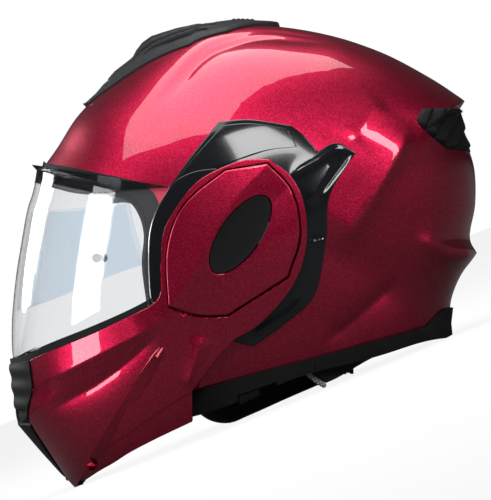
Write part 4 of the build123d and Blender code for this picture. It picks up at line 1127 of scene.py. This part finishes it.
class HELMET_OT_straps(bpy.types.Operator):
    """Webbing straps from their rivets down to the buckle"""

    bl_idname = "helmet.straps"
    bl_label = "Straps"

    def execute(self, context):
        """Each strap is a flat band along a path with rounded corners, its woven edges a little thicker."""
        hang, top, turn_off, bottom, bend, place = 0.0747, -0.056, -0.084, -0.0924, 0.009, 0.4
        half_width, half_thick, edge_more = 0.00985, 0.00075, 0.0002
        turn = np.linspace(0, 2 * math.pi, 64, endpoint=False)
        across = np.sign(np.cos(turn)) * np.abs(np.cos(turn)) ** 0.4 * half_width
        thick = np.sin(turn) * (half_thick + edge_more * np.abs(across / half_width) ** 6)
        for side, sign, end in (("left", -1, 0.0213), ("right", 1, 0.0253)):
            corners = np.array([(hang, top), (hang, turn_off), (0.6 * hang, bottom), (end, bottom)])
            path = rounded(corners, bend)
            ahead = unit(np.gradient(path, axis=0))
            sideways = np.stack([-ahead[:, 1], ahead[:, 0]], axis=1)
            out = path[:, None, :] + thick[None, :, None] * sideways[:, None]
            grid = row_frame(place + across / CROWN, sign * out[..., 0], out[..., 1] / CROWN)
            piece(f"strap_{side}", capped(grid), "helmet", [f"chin_strap_{side}"], "webbing")
        return {"FINISHED"}


# Stage

# Name, shape, place, point it faces, width and height, and power in watts of each lamp
LAMPS = [
    ("lamp top", "RECTANGLE", (0.15, -0.1, 1.5), (0.0, 0.0, 0.1), (2.2, 1.2), 27),
    ("lamp front", "RECTANGLE", (-1.7, -0.9, 0.9), (-0.1, 0.0, 0.1), (0.6, 1.3), 20),
    ("lamp forehead", "DISK", (-1.2, 1.15, 1.0), (-0.1, 0.0, 0.2), (0.75, 0.75), 14),
    ("lamp back", "RECTANGLE", (1.5, -1.0, 0.7), (0.05, 0.0, 0.1), (0.4, 1.0), 12),
    ("lamp side", "RECTANGLE", (0.5, -2.3, 1.4), (0.0, 0.0, 0.1), (0.8, 0.8), 22),
]


def background_rays(tree):
    """A value that is 1 for rays that show the background, straight or through clear pieces."""
    path = add(tree, "ShaderNodeLightPath", {})
    rays = {0: path["Is Camera Ray"], 1: path["Is Transmission Ray"]}
    return add(tree, "ShaderNodeMath", rays, operation="MAXIMUM")[0]


def pale_floor():
    """White floor that keeps a soft shadow."""
    material, tree, shader = new_finish("pale floor", (0.8, 0.8, 0.8), 0.7, {})
    quiet = add(tree, "ShaderNodeBsdfDiffuse", {"Color": (0.09, 0.09, 0.09, 1)})["BSDF"]
    glow = add(tree, "ShaderNodeEmission", {"Strength": 1.0})["Emission"]
    shown = mixed(tree, 0.12, glow, shader.outputs["BSDF"])
    fill(tree, tree.nodes["Material Output"], {"Surface": mixed(tree, background_rays(tree), quiet, shown)})
    return material


def studio_world(scene):
    """White behind the object, and a plain grey light from all round."""
    world = bpy.data.worlds.new("studio")
    scene.world = world
    world.use_nodes = True
    tree = world.node_tree
    tree.nodes.clear()
    soft, bright = (add(tree, "ShaderNodeBackground", {"Color": (*colour, 1)})["Background"]
                    for colour in ((0.035, 0.035, 0.037), (1, 1, 1)))
    add(tree, "ShaderNodeOutputWorld", {"Surface": mixed(tree, background_rays(tree), soft, bright)})


def lamp(scene, name, shape, place, aim, size, power):
    """A soft lamp of a given width and height that faces a point."""
    data = bpy.data.lights.new(name, "AREA")
    data.shape = shape
    data.size, data.size_y = size
    data.energy = power
    thing = bpy.data.objects.new(name, data)
    thing.location = place
    thing.rotation_euler = (Vector(aim) - Vector(place)).to_track_quat("-Z", "Y").to_euler()
    scene.collection.objects.link(thing)


def camera_at_side(scene):
    """A long lens level with the wearer's left side, rolled so that the worn helmet stands upright."""
    height_shown, away, reach = 0.35, 5.0, 50
    data = bpy.data.cameras.new("side camera")
    data.lens = data.sensor_width * away / height_shown
    data.clip_end = reach
    thing = bpy.data.objects.new("side camera", data)
    right = Vector((math.cos(TILT), 0, -math.sin(TILT)))
    up = Vector((math.sin(TILT), 0, math.cos(TILT)))
    back = Vector((0, -1, 0))
    centre = Vector(row_frame(VIEW_CENTRE[0], 0.0, VIEW_CENTRE[1]))
    turn = Matrix((right, up, back)).transposed().to_4x4()
    thing.matrix_world = Matrix.Translation(centre + back * away) @ turn
    scene.collection.objects.link(thing)
    scene.camera = thing


class HELMET_OT_stage(bpy.types.Operator):
    """Pale floor, soft studio lamps and the camera at the side"""

    bl_idname = "helmet.stage"
    bl_label = "Stage"

    def execute(self, context):
        scene, far = context.scene, 6
        floor_mesh = bpy.data.meshes.new("floor")
        corners = [(-far, -far, 0), (far, -far, 0), (far, far, 0), (-far, far, 0)]
        floor_mesh.from_pydata(corners, [], [(0, 1, 2, 3)])
        floor_mesh.materials.append(pale_floor())
        floor = bpy.data.objects.new("floor", floor_mesh)
        scene.collection.objects.link(floor)
        studio_world(scene)
        for values in LAMPS:
            lamp(scene, *values)
        camera_at_side(scene)
        scene.view_settings.view_transform = "Standard"
        return {"FINISHED"}


# Add-on

OPERATORS = (HELMET_OT_fittings, HELMET_OT_shell, HELMET_OT_crown_vent, HELMET_OT_rear_exhaust,
             HELMET_OT_eyeport, HELMET_OT_side_plates, HELMET_OT_visor, HELMET_OT_chin_bar,
             HELMET_OT_chin_vent, HELMET_OT_pods, HELMET_OT_pads, HELMET_OT_straps, HELMET_OT_stage)


class HELMET_PT_dressing(bpy.types.Panel):
    """Lists the helmet's settings and pieces in the sidebar"""

    bl_label = "Modular helmet"
    bl_idname = "HELMET_PT_dressing"
    bl_space_type = "VIEW_3D"
    bl_region_type = "UI"
    bl_category = "Helmet"

    def draw(self, context):
        column = self.layout.column()
        for name in HelmetSettings.__annotations__:
            column.prop(settings(), name)
        for operator in OPERATORS:
            column.operator(operator.bl_idname)


def register():
    for kind in (HelmetSettings, *OPERATORS, HELMET_PT_dressing):
        bpy.utils.register_class(kind)
    bpy.types.Scene.helmet_dressing = PointerProperty(type=HelmetSettings)


def unregister():
    del bpy.types.Scene.helmet_dressing
    for kind in reversed((HelmetSettings, *OPERATORS, HELMET_PT_dressing)):
        bpy.utils.unregister_class(kind)


def main():
    """Registers the add-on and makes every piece."""
    register()
    bpy.ops.helmet.fittings()
    bpy.ops.helmet.shell()
    bpy.ops.helmet.crown_vent()
    bpy.ops.helmet.rear_exhaust()
    bpy.ops.helmet.eyeport()
    bpy.ops.helmet.side_plates()
    bpy.ops.helmet.visor()
    bpy.ops.helmet.chin_bar()
    bpy.ops.helmet.chin_vent()
    bpy.ops.helmet.pods()
    bpy.ops.helmet.pads()
    bpy.ops.helmet.straps()
    bpy.ops.helmet.stage()


if __name__ == "__main__":
    main()
